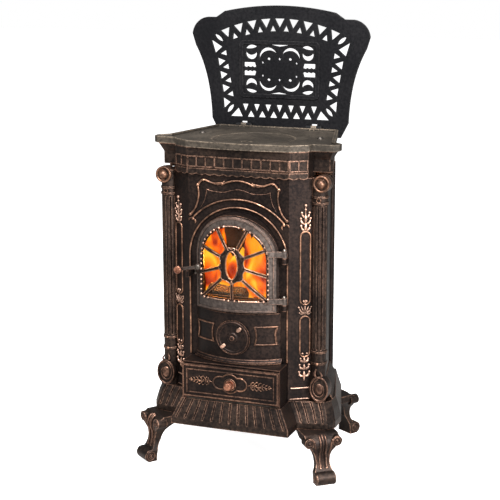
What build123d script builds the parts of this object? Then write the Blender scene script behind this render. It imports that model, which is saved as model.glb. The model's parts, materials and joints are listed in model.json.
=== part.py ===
from build123d import *
import os
from math import cos, radians, sin, sqrt

# A small cast iron room stove: four scrolled legs, a reeded base, a bowed door
# with a sunburst grille, an ash drawer, an air valve and a pierced raised lid.
# Millimetres. X points right, Y points to the back, Z points up, and the floor
# is Z = 0. The origin is under the middle of the whole stove.

os.makedirs("parts", exist_ok=True)

# Overall sizes
half_top = 240
top_z = 828
front_y = -139
body_depth = 284
leg_height = 121

# Walls and clearances
wall = 7
gap = 0.3
slide_gap = 0.4
pin_clearance = 0.05

rear_y = front_y + body_depth

# Heights of the base, the body and the cornice
base_rim = 16
skirt_rise = 50
rim_top_z = leg_height + base_rim
body_z = rim_top_z + skirt_rise
plate_thick = 16
cornice_height = 64
plate_z = top_z - plate_thick
cornice_z = plate_z - cornice_height

# Bowed bay that carries the door above and the air valve below
door_half = 103.5
door_thick = 8.4
bow_r = 184
bow_front_y = front_y - 49
bay_gap = 3.6
valve_recess = 9
drawer_height = 84
housing_z = body_z + drawer_height + 13
ledge_height = 13
valve_zone = 119
door_z = housing_z + ledge_height + valve_zone
door_top_margin = 93
door_top_z = cornice_z - door_top_margin
arch_z = door_top_z - door_half
window_half = door_half - 16.5
window_bottom = door_z + 26

bow_centre_y = bow_front_y + bow_r
bay_r = bow_r - door_thick - bay_gap
valve_r = bow_r - valve_recess

# Front casting
border_margin = 24
border_half = door_half + border_margin
panel_half = border_half + 2.5
column_r = 18.7
column_x = half_top - 42.4
column_y = front_y + 36.2
flank_out = column_x - 15.6
flank_back = 31
side_front_x = column_x + 7
side_rear_x = side_front_x - 52
moulding = 3.5
moulding_width = 3.2
relief = 2

# Ash drawer
housing_half = border_half - 0.5
housing_front_y = front_y - 57
drawer_front_thick = 6

# Lid and its hinge
lid_thick = 6
hinge_axis_y = rear_y + 19
hinge_axis_z = top_z
lid_face_gap = 3.2
lid_hinge_x = 96


def extruded(points, z0, z1):
    """A straight block between two heights with a plan outline of points."""
    with BuildPart() as block:
        with BuildSketch(Plane.XY.offset(z0)):
            with BuildLine():
                Polyline(*points, close=True)
            make_face()
        extrude(amount=z1 - z0)
    return block.part


def wide_block(half, y_front, y_back, z0, z1):
    """A straight block about the middle plane."""
    outline = [(-half, y_front), (half, y_front), (half, y_back), (-half, y_back)]
    return extruded(outline, z0, z1)


def both_sides(points):
    """A closed outline from its right half, given from front to back."""
    return points + [(-x, y) for x, y in reversed(points)]


def upright(y):
    """A vertical sketch plane facing the front, with X right and Z up."""
    return Plane(origin=(0, y, 0), x_dir=(1, 0, 0), z_dir=(0, -1, 0))


def arch_block(half, z0, centre_z, y_front, y_back):
    """A block with an arched top, seen from the front."""
    with BuildPart() as block:
        with BuildSketch(upright(y_back)):
            with BuildLine():
                Line((-half, z0), (half, z0))
                Line((half, z0), (half, centre_z))
                ThreePointArc((half, centre_z), (0, centre_z + half), (-half, centre_z))
                Line((-half, centre_z), (-half, z0))
            make_face()
        extrude(amount=y_back - y_front)
    return block.part


def bowed_shell(r_out, r_in, z0, z1):
    """A vertical tube about the centre of the bow."""
    with BuildPart() as tube:
        with BuildSketch(Plane.XY.offset(z0)):
            with Locations((0, bow_centre_y)):
                Circle(r_out)
                if r_in > 0:
                    Circle(r_in, mode=Mode.SUBTRACT)
        extrude(amount=z1 - z0)
    return tube.part


def bow_y(x, r):
    """The Y of a bowed face of radius r, at a distance x from the middle."""
    return bow_centre_y - sqrt(r * r - x * x)


def drum(x, y0, y1, z, r):
    """A round bar along Y, between two depths."""
    with BuildPart() as bar:
        with BuildSketch(upright(y1)):
            with Locations((x, z)):
                Circle(r)
        extrude(amount=y1 - y0)
    return bar.part


def post(x, y, z0, z1, r):
    """A round upright bar between two heights."""
    with BuildPart() as bar:
        with BuildSketch(Plane.XY.offset(z0)):
            with Locations((x, y)):
                Circle(r)
        extrude(amount=z1 - z0)
    return bar.part


def ribbon(path, width, y_back, y_front):
    """A raised line on an upright face, along a path of X and Z."""
    with BuildPart() as raised:
        with BuildSketch(upright(y_back)):
            trace(path, width)
        extrude(amount=y_back - y_front)
    return raised.part


def rectangle_path(half, z0, z1):
    """A rectangle on an upright face, as a path of X and Z."""
    with BuildLine() as path:
        Polyline((-half, z0), (half, z0), (half, z1), (-half, z1), close=True)
    return path.line


def turned(x, z, profile):
    """A round piece about an axis along Y, from a list of Y and radius."""
    with BuildPart() as piece:
        with BuildSketch(Plane.XY.offset(z)):
            with BuildLine():
                edge = [(x + r, y) for y, r in profile]
                Polyline((x, profile[0][0]), *edge, (x, profile[-1][0]), close=True)
            make_face()
        revolve(axis=Axis((x, 0, z), (0, 1, 0)))
    return piece.part


def turned_up(x, y, profile):
    """A round piece about an upright axis, from a list of Z and radius."""
    with BuildPart() as piece:
        with BuildSketch(upright(y)):
            with BuildLine():
                edge = [(x + r, z) for z, r in profile]
                Polyline((x, profile[0][0]), *edge, (x, profile[-1][0]), close=True)
            make_face()
        revolve(axis=Axis((x, y, 0), (0, 0, 1)))
    return piece.part


def face_plane(start, end):
    """An upright sketch plane on a face that runs from start to end in plan."""
    (x0, y0), (x1, y1) = start, end
    length = sqrt((x1 - x0) ** 2 + (y1 - y0) ** 2)
    along = ((x1 - x0) / length, (y1 - y0) / length, 0)
    outward = (along[1], -along[0], 0)
    return Plane(origin=(x0, y0, 0), x_dir=along, z_dir=outward)


def face_length(start, end):
    """The length of a face that runs from start to end in plan."""
    return sqrt((end[0] - start[0]) ** 2 + (end[1] - start[1]) ** 2)


def mirrored(part):
    """The same piece on the other side of the stove."""
    return mirror(part, about=Plane.YZ)


def save(builder_part, name):
    """Names a finished piece and writes it."""
    builder_part.label = name
    export_step(builder_part, f"parts/{name}.step")


# Plan outlines

body_front = [(panel_half, front_y), (flank_out, front_y + flank_back)]
side_front_y = column_y + column_r - 6
side_rear_y = rear_y - 5


def side_x(y):
    """The X of the outer face of the right side plate, at a depth y."""
    share = (y - side_front_y) / (side_rear_y - side_front_y)
    return side_front_x + share * (side_rear_x - side_front_x)


def top_outline(inset):
    """The plan of the cooking plate, drawn in by inset all round."""
    with BuildSketch() as plan:
        with BuildLine():
            ThreePointArc(
                (-panel_half - 5, front_y - 4),
                (0, front_y - 17),
                (panel_half + 5, front_y - 4),
            )
            for side in (1, -1):
                Polyline(
                    (side * (panel_half + 5), front_y - 4),
                    (side * (half_top - 67), front_y + 22),
                    (side * (half_top - 64), front_y + 34),
                    (side * (half_top - 12), front_y + 37),
                    (side * half_top, front_y + 49),
                    (side * half_top, front_y + 68),
                    (side * (half_top - 24), front_y + 90),
                    (side * (half_top - 74), rear_y + 4),
                    (side * (half_top - 81), rear_y + 11),
                )
            Line((half_top - 81, rear_y + 11), (-half_top + 81, rear_y + 11))
        make_face()
        if inset:
            offset(amount=-inset, kind=Kind.INTERSECTION)
    return plan.sketch


# Base: an open casting with a rim, a reeded skirt and a seat for the body

rim_front = front_y - 73
rim_plan = [
    (housing_half + 27, rim_front),
    (housing_half + 29, front_y + 60 - 67),
    (half_top - 11, front_y + 8),
    (half_top + 3, front_y + 34),
    (half_top + 3, front_y + 84),
    (half_top - 60, rear_y + 20),
]
shoulder_plan = [
    (housing_half + 14, rim_front + 8),
    (housing_half + 16, front_y + 2),
    (half_top - 17, front_y + 17),
    (half_top - 4, front_y + 40),
    (half_top - 4, front_y + 84),
    (half_top - 67, rear_y + 13),
]
seat_plan = [
    (housing_half + 3, housing_front_y - 1),
    (housing_half + 5, front_y + 6),
    (half_top - 26, front_y + 24),
    (half_top - 12, front_y + 44),
    (half_top - 12, front_y + 84),
    (half_top - 72, rear_y + 8),
]
shoulder_z = rim_top_z + 28


def plan_face(points, z):
    """A flat face at a height, from the right half of its outline."""
    with BuildSketch(Plane.XY.offset(z)) as face:
        with BuildLine():
            Polyline(*both_sides(points), close=True)
        make_face()
    return face.sketch


def shrunk(points, inset):
    """The right half of an outline, drawn in by about inset."""
    moved = [(x - inset, y + inset) for x, y in points[:-1]]
    last_x, last_y = points[-1]
    return moved + [(last_x - inset, last_y - inset)]


def skirt(inset, deck):
    """The flared body of the base, or the hollow inside it under the deck."""
    levels = [
        plan_face(shrunk(rim_plan, inset), leg_height + base_rim),
        plan_face(shrunk(shoulder_plan, inset), shoulder_z),
        plan_face(shrunk(seat_plan, inset), body_z - deck),
    ]
    return loft(levels, ruled=True, mode=Mode.PRIVATE)


groove_count = 13
groove_width = 3.4
groove_depth = 2.2
corner_grooves = (0.14, 0.38, 0.62, 0.86)


def skirt_point(outline, z, corner, share):
    """A point on the skirt, at a share of the way along one of its faces."""
    first_x, first_y = outline[0]
    x0, y0 = outline[corner - 1] if corner else (-first_x, first_y)
    x1, y1 = outline[corner]
    return Vector(x0 + share * (x1 - x0), y0 + share * (y1 - y0), z)


def skirt_groove(corner, share):
    """One groove down the face of the skirt that ends at a corner of its plan."""
    low = skirt_point(rim_plan, rim_top_z + 1.5, corner, share)
    middle = skirt_point(shoulder_plan, shoulder_z, corner, share)
    high = skirt_point(seat_plan, body_z + 1, corner, share)
    face_along = skirt_point(rim_plan, 0, corner, 1) - skirt_point(rim_plan, 0, corner, 0)
    with BuildPart() as groove:
        for start, end in ((low, middle), (middle, high)):
            along = Plane(origin=start, z_dir=end - start, x_dir=face_along)
            with BuildSketch(along):
                Rectangle(groove_width, 2 * groove_depth)
            extrude(amount=(end - start).length)
    return groove.part


def cheek_face(y, rim_x):
    """A section through the swelling of the base beside the body."""
    inner = side_x(y) + gap
    with BuildSketch(upright(y)) as face:
        with BuildLine():
            Polyline(
                (inner, body_z - 1),
                (rim_x - 16, body_z - 1),
                (rim_x - 15, body_z + 1),
                (rim_x - 23, body_z + 13),
                (inner + 2, body_z + 29),
                (inner, body_z + 29),
                close=True,
            )
        make_face()
    return face.sketch


cheek_front_y = column_y + column_r + 2
cheek_rear_y = rear_y - 17
rim_slope = (rim_plan[-1][0] - rim_plan[-2][0]) / (rim_plan[-1][1] - rim_plan[-2][1])
rim_rear_x = rim_plan[-2][0] + rim_slope * (cheek_rear_y - rim_plan[-2][1])
cheek = loft(
    [cheek_face(cheek_front_y, rim_plan[-2][0]), cheek_face(cheek_rear_y, rim_rear_x)],
    ruled=True,
)

leg_angles = {"front_right": -52, "rear_right": 56, "rear_left": 124, "front_left": -128}
foot_x = half_top
foot_y = front_y - 41
rear_foot_x = half_top - 44
rear_foot_y = rear_y + 53.3
feet = {
    "front_right": (foot_x, foot_y),
    "rear_right": (rear_foot_x, rear_foot_y),
    "rear_left": (-rear_foot_x, rear_foot_y),
    "front_left": (-foot_x, foot_y),
}
leg_bolt_reach = 77
leg_bolt_r = 4
leg_bolts_at = [
    (
        feet[corner][0] - leg_bolt_reach * cos(radians(angle)),
        feet[corner][1] - leg_bolt_reach * sin(radians(angle)),
    )
    for corner, angle in leg_angles.items()
]
tie_rod_x = half_top - 83
tie_rod_y = front_y + 161
tie_rod_r = 4
bolt_clearance = 0.3
deck_thick = 5
front_grooves = [skirt_groove(0, (k + 0.5) / groove_count) for k in range(groove_count)]
right_cuts = [skirt_groove(2, share) for share in corner_grooves]
corner_cuts = right_cuts + [mirrored(cut) for cut in right_cuts]

with BuildPart() as base:
    add(extruded(both_sides(rim_plan), leg_height, leg_height + base_rim))
    add(skirt(0, 0))
    add(extruded(both_sides(shrunk(rim_plan, wall)), leg_height + deck_thick, rim_top_z),
        mode=Mode.SUBTRACT)
    add(skirt(wall, deck_thick), mode=Mode.SUBTRACT)
    add(front_grooves + corner_cuts, mode=Mode.SUBTRACT)
    add([cheek, mirrored(cheek)])
    for x, y in leg_bolts_at:
        add(post(x, y, leg_height - 1, leg_height + 10, leg_bolt_r + bolt_clearance),
            mode=Mode.SUBTRACT)
    for x in (-tie_rod_x, tie_rod_x):
        add(post(x, tie_rod_y, body_z - 20, body_z + 1, tie_rod_r + bolt_clearance),
            mode=Mode.SUBTRACT)
save(base.part, "base")

# Floor of the body, on which the ash drawer runs

floor_thick = 3
with BuildPart() as ash_floor:
    reach = housing_half - wall - gap
    floor_plan = [(reach, housing_front_y + 2), (reach, rear_y - wall - gap)]
    add(extruded(both_sides(floor_plan), body_z, body_z + floor_thick))
save(ash_floor.part, "ash_floor")

# Legs: scrolled castings that stand out diagonally under the four corners

leg_top = leg_height - gap
leg_pad = leg_bolt_reach + 11
leg_face = -30
knee_x = -17
knee_z = leg_top - 42
ankle_z = 30
roll_x = -1
roll_r = 16
sole_front = 5
sole_back = -19
foot_half = 24.5
ankle_half = 18
shank_half = 32
knee_half = 44
volute_r = 13
volute_x = -11
volute_y = 36
volute_z = leg_top - 16
leg_rib_wide = 4
leg_rib_out = 2.4
leg_rib_y = 7.5


def leg_side():
    """The leg from the side: knee, shank, flat sole and rolled toe."""
    middle_z = (knee_z + ankle_z) / 2
    with BuildSketch(Plane.XZ) as side:
        with BuildLine():
            ThreePointArc((leg_face, leg_top), (knee_x + 3, leg_top - 17), (knee_x, knee_z))
            ThreePointArc((knee_x, knee_z), (knee_x + 1.5, middle_z), (-6, ankle_z))
            Line((-6, ankle_z), (sole_front, 0))
            Line((sole_front, 0), (sole_back, 0))
            ThreePointArc((sole_back, 0), (sole_back - 2, 26), (-34, middle_z))
            ThreePointArc((-34, middle_z), (-52, leg_top - 31), (-leg_pad, leg_top - 8))
            Line((-leg_pad, leg_top - 8), (-leg_pad, leg_top))
            Line((-leg_pad, leg_top), (leg_face, leg_top))
        make_face()
        with Locations((roll_x, roll_r)):
            Circle(roll_r)
    return side.sketch


def leg_front():
    """The outline of the leg from the front, from its toe up to its knee."""
    with BuildSketch(Plane.YZ.offset(-leg_pad - 8)) as front:
        with BuildLine():
            Line((foot_half, 0), (foot_half, 2 * roll_r - 3))
            ThreePointArc(
                (foot_half, 2 * roll_r - 3),
                (ankle_half + 1, ankle_z + 14),
                (shank_half, leg_top - 32),
            )
            Line((shank_half, leg_top - 32), (knee_half, leg_top - 18))
            Line((knee_half, leg_top - 18), (knee_half, leg_top))
            Line((knee_half, leg_top), (0, leg_top))
            mirror(about=Plane.YZ)
            Line((-foot_half, 0), (foot_half, 0))
        make_face()
    return front.sketch


def leg_volute(y):
    """A scroll at the top of the leg, as a short bar that points outwards."""
    with BuildPart() as bar:
        with BuildSketch(Plane.YZ.offset(volute_x - 26)):
            with Locations((y, volute_z)):
                Circle(volute_r)
        extrude(amount=26)
    return bar.part


def leg_rib(y):
    """A raised rib down the knee and the shank."""
    with BuildPart() as rib:
        extrude(leg_side(), amount=leg_rib_wide / 2, both=True)
        add(wide_block(leg_pad + 1, -leg_rib_wide, leg_rib_wide, ankle_z + 8, leg_top - 5),
            mode=Mode.INTERSECT)
    return rib.part.moved(Location((leg_rib_out, y, 0)))


def leg(x, y, angle):
    """One leg with its foot at x and y, standing out at an angle from +X."""
    with BuildPart() as casting:
        extrude(leg_side(), amount=knee_half, both=True)
        extrude(leg_front(), amount=leg_pad + 30, mode=Mode.INTERSECT)
        for side in (1, -1):
            add(leg_volute(side * volute_y))
            add(leg_rib(side * leg_rib_y))
        add(post(-leg_bolt_reach, 0, leg_top - 9, leg_top + 1, leg_bolt_r + pin_clearance),
            mode=Mode.SUBTRACT)
    return casting.part.moved(Location((x, y, 0), (0, 0, angle)))


for corner, angle in leg_angles.items():
    save(leg(feet[corner][0], feet[corner][1], angle), f"leg_{corner}")

with BuildPart() as leg_bolts:
    for x, y in leg_bolts_at:
        add(post(x, y, leg_top - 8, leg_height + deck_thick, leg_bolt_r))
        with BuildSketch(Plane.XY.offset(leg_height + deck_thick)):
            with Locations((x, y)):
                RegularPolygon(leg_bolt_r + 3, 6)
        extrude(amount=5)
save(leg_bolts.part, "leg_bolts")

# Front casting: flat centre, angled flanks, bowed bay, housing for the drawer

bay_half = door_half + 2
valve_half = border_half - 18
opening_half = window_half + 1.5
opening_bottom = window_bottom - 6
tray_half = housing_half - wall - 5
drawer_front_half = housing_half - 0.5
drawer_z = body_z + 8
drawer_top_z = housing_z - 5
seat_r = 44.5
valve_z = housing_z + 67
throat_r = 27
seat_proud = 1.5
hub_r = 9
hub_back = 9
web_half = 4
spindle_r = 4
hinge_x = door_half + 19.5
hinge_y = front_y - 12
hinge_zs = (door_z + 31, arch_z + 13)
knuckle_r = 6.5
knuckle_height = 18
socket_height = 15
hinge_pin_r = 2.6
latch_x = -door_half + 8.5
latch_z = arch_z - 31.5
latch_screw_r = 3
knob_x = latch_x - 51
knob_z = latch_z - 10
keeper_x = latch_x - 26
keeper_half = 4
keeper_top_z = knob_z - 0.5
keeper_z = keeper_top_z - 16
keeper_screw_r = 2
keeper_screw_depth = 4.5
keeper_screws_at = [(keeper_x + 8.5, keeper_z + 3.5), (keeper_x + 8.5, keeper_top_z - 3.5)]


def front_plan(y_shift):
    """The front face line of the body, from left to right, moved back by y_shift."""
    right = [(x, y + y_shift) for x, y in body_front]
    return [(-x, y) for x, y in reversed(right)] + right


def bay(half, r, z0, centre_z):
    """A bowed block with an arched top that stands out of the front."""
    with BuildPart() as block:
        add(arch_block(half, z0, centre_z, front_y - 70, front_y + wall))
        add(bowed_shell(r, 0, z0 - 1, centre_z + half + 1), mode=Mode.INTERSECT)
    return block.part


def border_path():
    """The raised border round the bay: two uprights joined by an arch."""
    with BuildLine() as path:
        Line((-border_half, housing_z + 4), (-border_half, arch_z - 10))
        ThreePointArc(
            (-border_half, arch_z - 10),
            (0, arch_z - 10 + border_half),
            (border_half, arch_z - 10),
        )
        Line((border_half, arch_z - 10), (border_half, housing_z + 4))
    return path.line


def hood_path():
    """The outer arch, a flatter one, over the border."""
    rise = 52
    half = border_half - 9
    top = arch_z - 10 + border_half + 20
    with BuildLine() as path:
        ThreePointArc((-half, top - rise), (0, top), (half, top - rise))
    return path.line


def cartouche_path():
    """The scrolled frame over the arch, left half and right half."""
    base_z = arch_z - 10 + border_half
    knob = (border_half - 3, base_z - 24)
    upper = (border_half - 23, base_z + 51)
    tip = (border_half - 38, base_z + 64)
    notch = (41, base_z + 59)
    with BuildLine() as path:
        for side in (1, -1):
            Spline(
                (side * knob[0], knob[1]),
                (side * (border_half - 17), base_z - 5),
                (side * (border_half - 25), base_z + 24),
                (side * upper[0], upper[1]),
            )
            Spline(
                (side * upper[0], upper[1]),
                (side * tip[0], tip[1]),
                (side * 65, base_z + 57),
                (side * notch[0], notch[1]),
            )
        ThreePointArc((-notch[0], notch[1] - 4), (0, base_z + 66), (notch[0], notch[1] - 4))
    return path.line


def bowed_block(half, r, z0, z1):
    """A block as wide as 2 half whose front is bowed to the radius r."""
    with BuildPart() as block:
        add(wide_block(half, front_y - 70, front_y + wall, z0, z1))
        add(bowed_shell(r, 0, z0 - 1, z1 + 1), mode=Mode.INTERSECT)
    return block.part


def valve_frame_path(side):
    """The raised frame beside the air valve, with its upright sides curved in."""
    near = side * (seat_r + 9.5)
    far = side * (valve_half - 5.5)
    low = valve_z - 16
    high = valve_z + 29
    middle = (low + high) / 2
    bend = side * 4
    with BuildLine() as path:
        Line((near, high), (far, high))
        ThreePointArc((far, high), (far - bend, middle), (far, low))
        Line((far, low), (near, low))
        ThreePointArc((near, low), (near + bend, middle), (near, high))
    return path.line


def bowed_ribbon(path, width, r_out, r_in):
    """A raised line on a bowed face, along a path of X and Z."""
    with BuildPart() as raised:
        with BuildSketch(upright(front_y + wall)):
            trace(path, width)
        extrude(amount=80)
        add(bowed_shell(r_out, r_in, housing_z, door_top_z), mode=Mode.INTERSECT)
    return raised.part


def valve_bay():
    """The bowed panel under the door, with the round seat of the air valve."""
    front = bow_y(0, valve_r)
    with BuildPart() as panel:
        add(bowed_block(valve_half, valve_r, housing_z, door_z - 3))
        add(drum(0, front - seat_proud, front + 12, valve_z, seat_r))
        for side in (1, -1):
            add(bowed_ribbon(valve_frame_path(side), moulding_width, valve_r + relief, valve_r - 1))
        add(bowed_block(valve_half - wall, valve_r - wall, housing_z - 1, door_z - 3 - wall),
            mode=Mode.SUBTRACT)
        add(drum(0, front - 60, front + 60, valve_z, throat_r), mode=Mode.SUBTRACT)
        add(wide_block(throat_r + 1, front + 2, front + hub_back, valve_z - web_half, valve_z + web_half))
        add(drum(0, front - seat_proud, front + hub_back, valve_z, hub_r))
        add(drum(0, front - 60, front + 60, valve_z, spindle_r + pin_clearance), mode=Mode.SUBTRACT)
    return panel.part


def ledge():
    """The moulded shelf between the air valve's panel and the drawer."""
    with BuildPart() as shelf:
        add(wide_block(valve_half + 4, front_y - 70, front_y + wall,
                       housing_z, housing_z + ledge_height))
        with BuildSketch(Plane.XY.offset(housing_z)) as low:
            with Locations((0, bow_centre_y)):
                Circle(valve_r + 7)
        with BuildSketch(Plane.XY.offset(housing_z + ledge_height)) as high:
            with Locations((0, bow_centre_y)):
                Circle(valve_r + 1)
        loft(mode=Mode.INTERSECT)
        add(bowed_block(valve_half + 4, valve_r + 7 + relief, housing_z + 1, housing_z + 4))
        add(bowed_shell(valve_r - wall, 0, housing_z - 1, housing_z + ledge_height + 1),
            mode=Mode.SUBTRACT)
    return shelf.part


def drawer_housing():
    """The box under the shelf that the ash drawer slides in."""
    inner = housing_half - wall
    with BuildPart() as box:
        add(wide_block(housing_half, housing_front_y, front_y + wall, body_z, housing_z))
        add(wide_block(inner, housing_front_y - 1, front_y + wall + 1, body_z - 1, housing_z - wall),
            mode=Mode.SUBTRACT)
    return box.part


def hinge_socket(z):
    """A boss under a door knuckle, with a foot on the front."""
    top = z - knuckle_height / 2 - gap
    with BuildPart() as socket:
        add(post(hinge_x, hinge_y, top - socket_height, top, knuckle_r))
        foot = [
            (hinge_x - 5, hinge_y), (hinge_x + 5, hinge_y),
            (hinge_x + 7, front_y + 1), (hinge_x - 7, front_y + 1),
        ]
        add(extruded(foot, top - socket_height, top))
        add(post(hinge_x, hinge_y, top - socket_height - 1, top + 1, hinge_pin_r), mode=Mode.SUBTRACT)
    return socket.part


flank_loops = ((body_z + 113, body_z + 220), (body_z + 246, body_z + 432))
loop_half = 14
loop_inset = 19.5


def flank_panel():
    """The two long raised loops on the right flank."""
    face = face_plane(*body_front)
    middle = face_length(*body_front) - loop_inset
    with BuildPart() as raised:
        with BuildSketch(face.offset(-1)):
            for low, high in flank_loops:
                with Locations((middle, (low + high) / 2)):
                    SlotOverall(high - low, 2 * loop_half, rotation=90)
                    SlotOverall(high - low - 2 * moulding_width, 2 * (loop_half - moulding_width),
                                rotation=90, mode=Mode.SUBTRACT)
        extrude(amount=1 + relief)
    return raised.part


right_flank_panel = flank_panel()

with BuildPart() as front_casting:
    add(extruded(front_plan(0) + list(reversed(front_plan(wall))), body_z, cornice_z))
    add(arch_block(bay_half, door_z - 4, arch_z, front_y - 1, front_y + wall + 1), mode=Mode.SUBTRACT)
    add(wide_block(valve_half, front_y - 1, front_y + wall + 1, housing_z, door_z - 3), mode=Mode.SUBTRACT)
    add(bay(bay_half, bay_r, door_z - 4, arch_z))
    add(bay(bay_half - wall, bay_r - wall, door_z + 3, arch_z), mode=Mode.SUBTRACT)
    add(arch_block(opening_half, opening_bottom, arch_z - 5, front_y - 70, front_y + wall + 1),
        mode=Mode.SUBTRACT)
    add(valve_bay())
    add(ledge())
    add(drawer_housing())
    add(wide_block(housing_half - wall, front_y - 1, front_y + wall + 1, body_z - 1, housing_z - wall),
        mode=Mode.SUBTRACT)
    for path in (border_path(), hood_path(), cartouche_path()):
        add(ribbon(path, moulding_width, front_y + 1, front_y - moulding))
    add([right_flank_panel, mirrored(right_flank_panel)])
    for z in hinge_zs:
        add(hinge_socket(z))
    for x in (-column_x, column_x):
        add(post(x, column_y, body_z - 1, cornice_z + 1, column_r + gap), mode=Mode.SUBTRACT)
    for x, z in keeper_screws_at:
        add(drum(x, front_y - 1, front_y + keeper_screw_depth + gap, z,
                 keeper_screw_r + pin_clearance), mode=Mode.SUBTRACT)
save(front_casting.part, "front_casting")

# Columns at the two front corners: a fluted shaft, rings, a boss and a scroll

boss_x = half_top - 35.6
boss_z = cornice_z - 13.5
boss_r = 20.5
boss_front_y = column_y - 9.2
scroll_x = half_top - 35
scroll_z = body_z + 36
scroll_front_y = column_y - 23
flute_r = 2.6
flute_count = 5
flute_step = 32
joint_depth = 1.2


def flute(angle):
    """One groove with straight sides down the shaft of the column."""
    x = column_x + column_r * cos(radians(angle))
    y = column_y + column_r * sin(radians(angle))
    with BuildPart() as groove:
        with BuildSketch(Plane.XY.offset(valve_z - 28)):
            with Locations((x, y)):
                RegularPolygon(flute_r, 4, rotation=angle)
        extrude(amount=cornice_z - valve_z - 40)
    return groove.part


def column():
    """The right column, cut back where the front and the side plate meet it."""
    with BuildPart() as casting:
        add(post(column_x, column_y, body_z, cornice_z - gap, column_r))
        for k in range(flute_count):
            add(flute(-90 + (k - (flute_count - 1) / 2) * flute_step), mode=Mode.SUBTRACT)
        for z in (scroll_z + 64, valve_z - 35, cornice_z - 60, cornice_z - 45):
            add(post(column_x, column_y, z - 2.5, z + 2.5, column_r + 2))
        flank_y = front_y + flank_back * (column_x - column_r - panel_half) / (flank_out - panel_half)
        flank = [
            (panel_half, front_y - gap),
            (column_x - column_r + joint_depth, flank_y - gap),
            (column_x - column_r + joint_depth, flank_y + wall + 1),
            (panel_half, front_y + wall + gap),
        ]
        add(extruded(flank, body_z, cornice_z), mode=Mode.SUBTRACT)
        rear = column_y + column_r - joint_depth
        side = [
            (side_front_x - wall - 3, rear),
            (side_front_x + 1, rear),
            (side_front_x + 1, rear + 12),
            (side_front_x - wall - 3, rear + 12),
        ]
        add(extruded(side, body_z, cornice_z), mode=Mode.SUBTRACT)
        add(turned(boss_x, boss_z, [
            (column_y + column_r - 4, boss_r),
            (boss_front_y, boss_r),
            (boss_front_y, boss_r - 4),
            (boss_front_y + 1.5, boss_r - 5),
            (boss_front_y + 1.5, 11),
            (boss_front_y - 1, 9),
            (boss_front_y - 3, 5),
        ]))
        with BuildSketch(upright(column_y + 4)):
            with Locations((scroll_x, scroll_z)):
                Ellipse(24, 33)
        extrude(amount=column_y + 4 - scroll_front_y)
        with BuildSketch(upright(scroll_front_y + 2)):
            with Locations((scroll_x, scroll_z)):
                Ellipse(20, 28)
                Ellipse(9, 13, mode=Mode.SUBTRACT)
        extrude(amount=3, mode=Mode.SUBTRACT)
    return casting.part


right_column = column()
save(right_column, "column_right")
save(mirrored(right_column), "column_left")

# Sides, back and rear corner posts

rear_post_x = side_rear_x + 1
rear_post_y = rear_y - 5
rear_post_r = 9
flue_z = door_top_z - 5
flue_inner_r = 53
flue_outer_r = 59
flue_screw_circle = 69.5
flue_screw_r = 3


def side_plate():
    """The right side plate, between the column and the rear post."""
    outline = [
        (side_front_x, side_front_y),
        (side_rear_x, side_rear_y),
        (side_rear_x - wall, side_rear_y),
        (side_front_x - wall, side_front_y),
    ]
    with BuildPart() as plate:
        add(extruded(outline, body_z, cornice_z))
        add(post(column_x, column_y, body_z - 1, cornice_z + 1, column_r + gap), mode=Mode.SUBTRACT)
        add(post(rear_post_x, rear_post_y, body_z - 1, cornice_z + 1, rear_post_r + gap),
            mode=Mode.SUBTRACT)
    return plate.part


right_side = side_plate()
save(right_side, "side_plate_right")
save(mirrored(right_side), "side_plate_left")
rear_post = post(rear_post_x, rear_post_y, body_z, cornice_z, rear_post_r)
save(rear_post, "rear_post_right")
save(mirrored(rear_post), "rear_post_left")


def flue_screw_places():
    """The four screws of the flue collar, as X and Z."""
    reach = flue_screw_circle / sqrt(2)
    return [(x, flue_z + z) for x in (-reach, reach) for z in (-reach, reach)]


with BuildPart() as back_plate:
    add(wide_block(rear_post_x - rear_post_r - gap, rear_y - wall, rear_y, body_z, cornice_z))
    add(drum(0, rear_y - 20, rear_y + 1, flue_z, flue_inner_r), mode=Mode.SUBTRACT)
    for x, z in flue_screw_places():
        add(drum(x, rear_y - 20, rear_y + 1, z, flue_screw_r + bolt_clearance), mode=Mode.SUBTRACT)
save(back_plate.part, "back_plate")

collar_reach = 60
flange_thick = 6
with BuildPart() as flue_collar:
    add(turned(0, flue_z, [
        (rear_y, flue_outer_r + 18),
        (rear_y + flange_thick, flue_outer_r + 18),
        (rear_y + flange_thick, flue_outer_r + 4),
        (rear_y + flange_thick + 4, flue_outer_r),
        (rear_y + collar_reach, flue_outer_r),
    ]))
    add(drum(0, rear_y - 1, rear_y + collar_reach + 1, flue_z, flue_inner_r), mode=Mode.SUBTRACT)
    for x, z in flue_screw_places():
        add(drum(x, rear_y - 20, rear_y + 20, z, flue_screw_r + bolt_clearance), mode=Mode.SUBTRACT)
save(flue_collar.part, "flue_collar")

with BuildPart() as flue_screws:
    for x, z in flue_screw_places():
        add(drum(x, rear_y - wall - 2, rear_y + flange_thick, z, flue_screw_r))
        with BuildSketch(upright(rear_y + flange_thick + 3.5)):
            with Locations((x, z)):
                RegularPolygon(5.5, 6)
        extrude(amount=3.5)
save(flue_screws.part, "flue_screws")

# Cornice: a hollow frame with a reeded band, a scalloped edge and a cove

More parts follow.
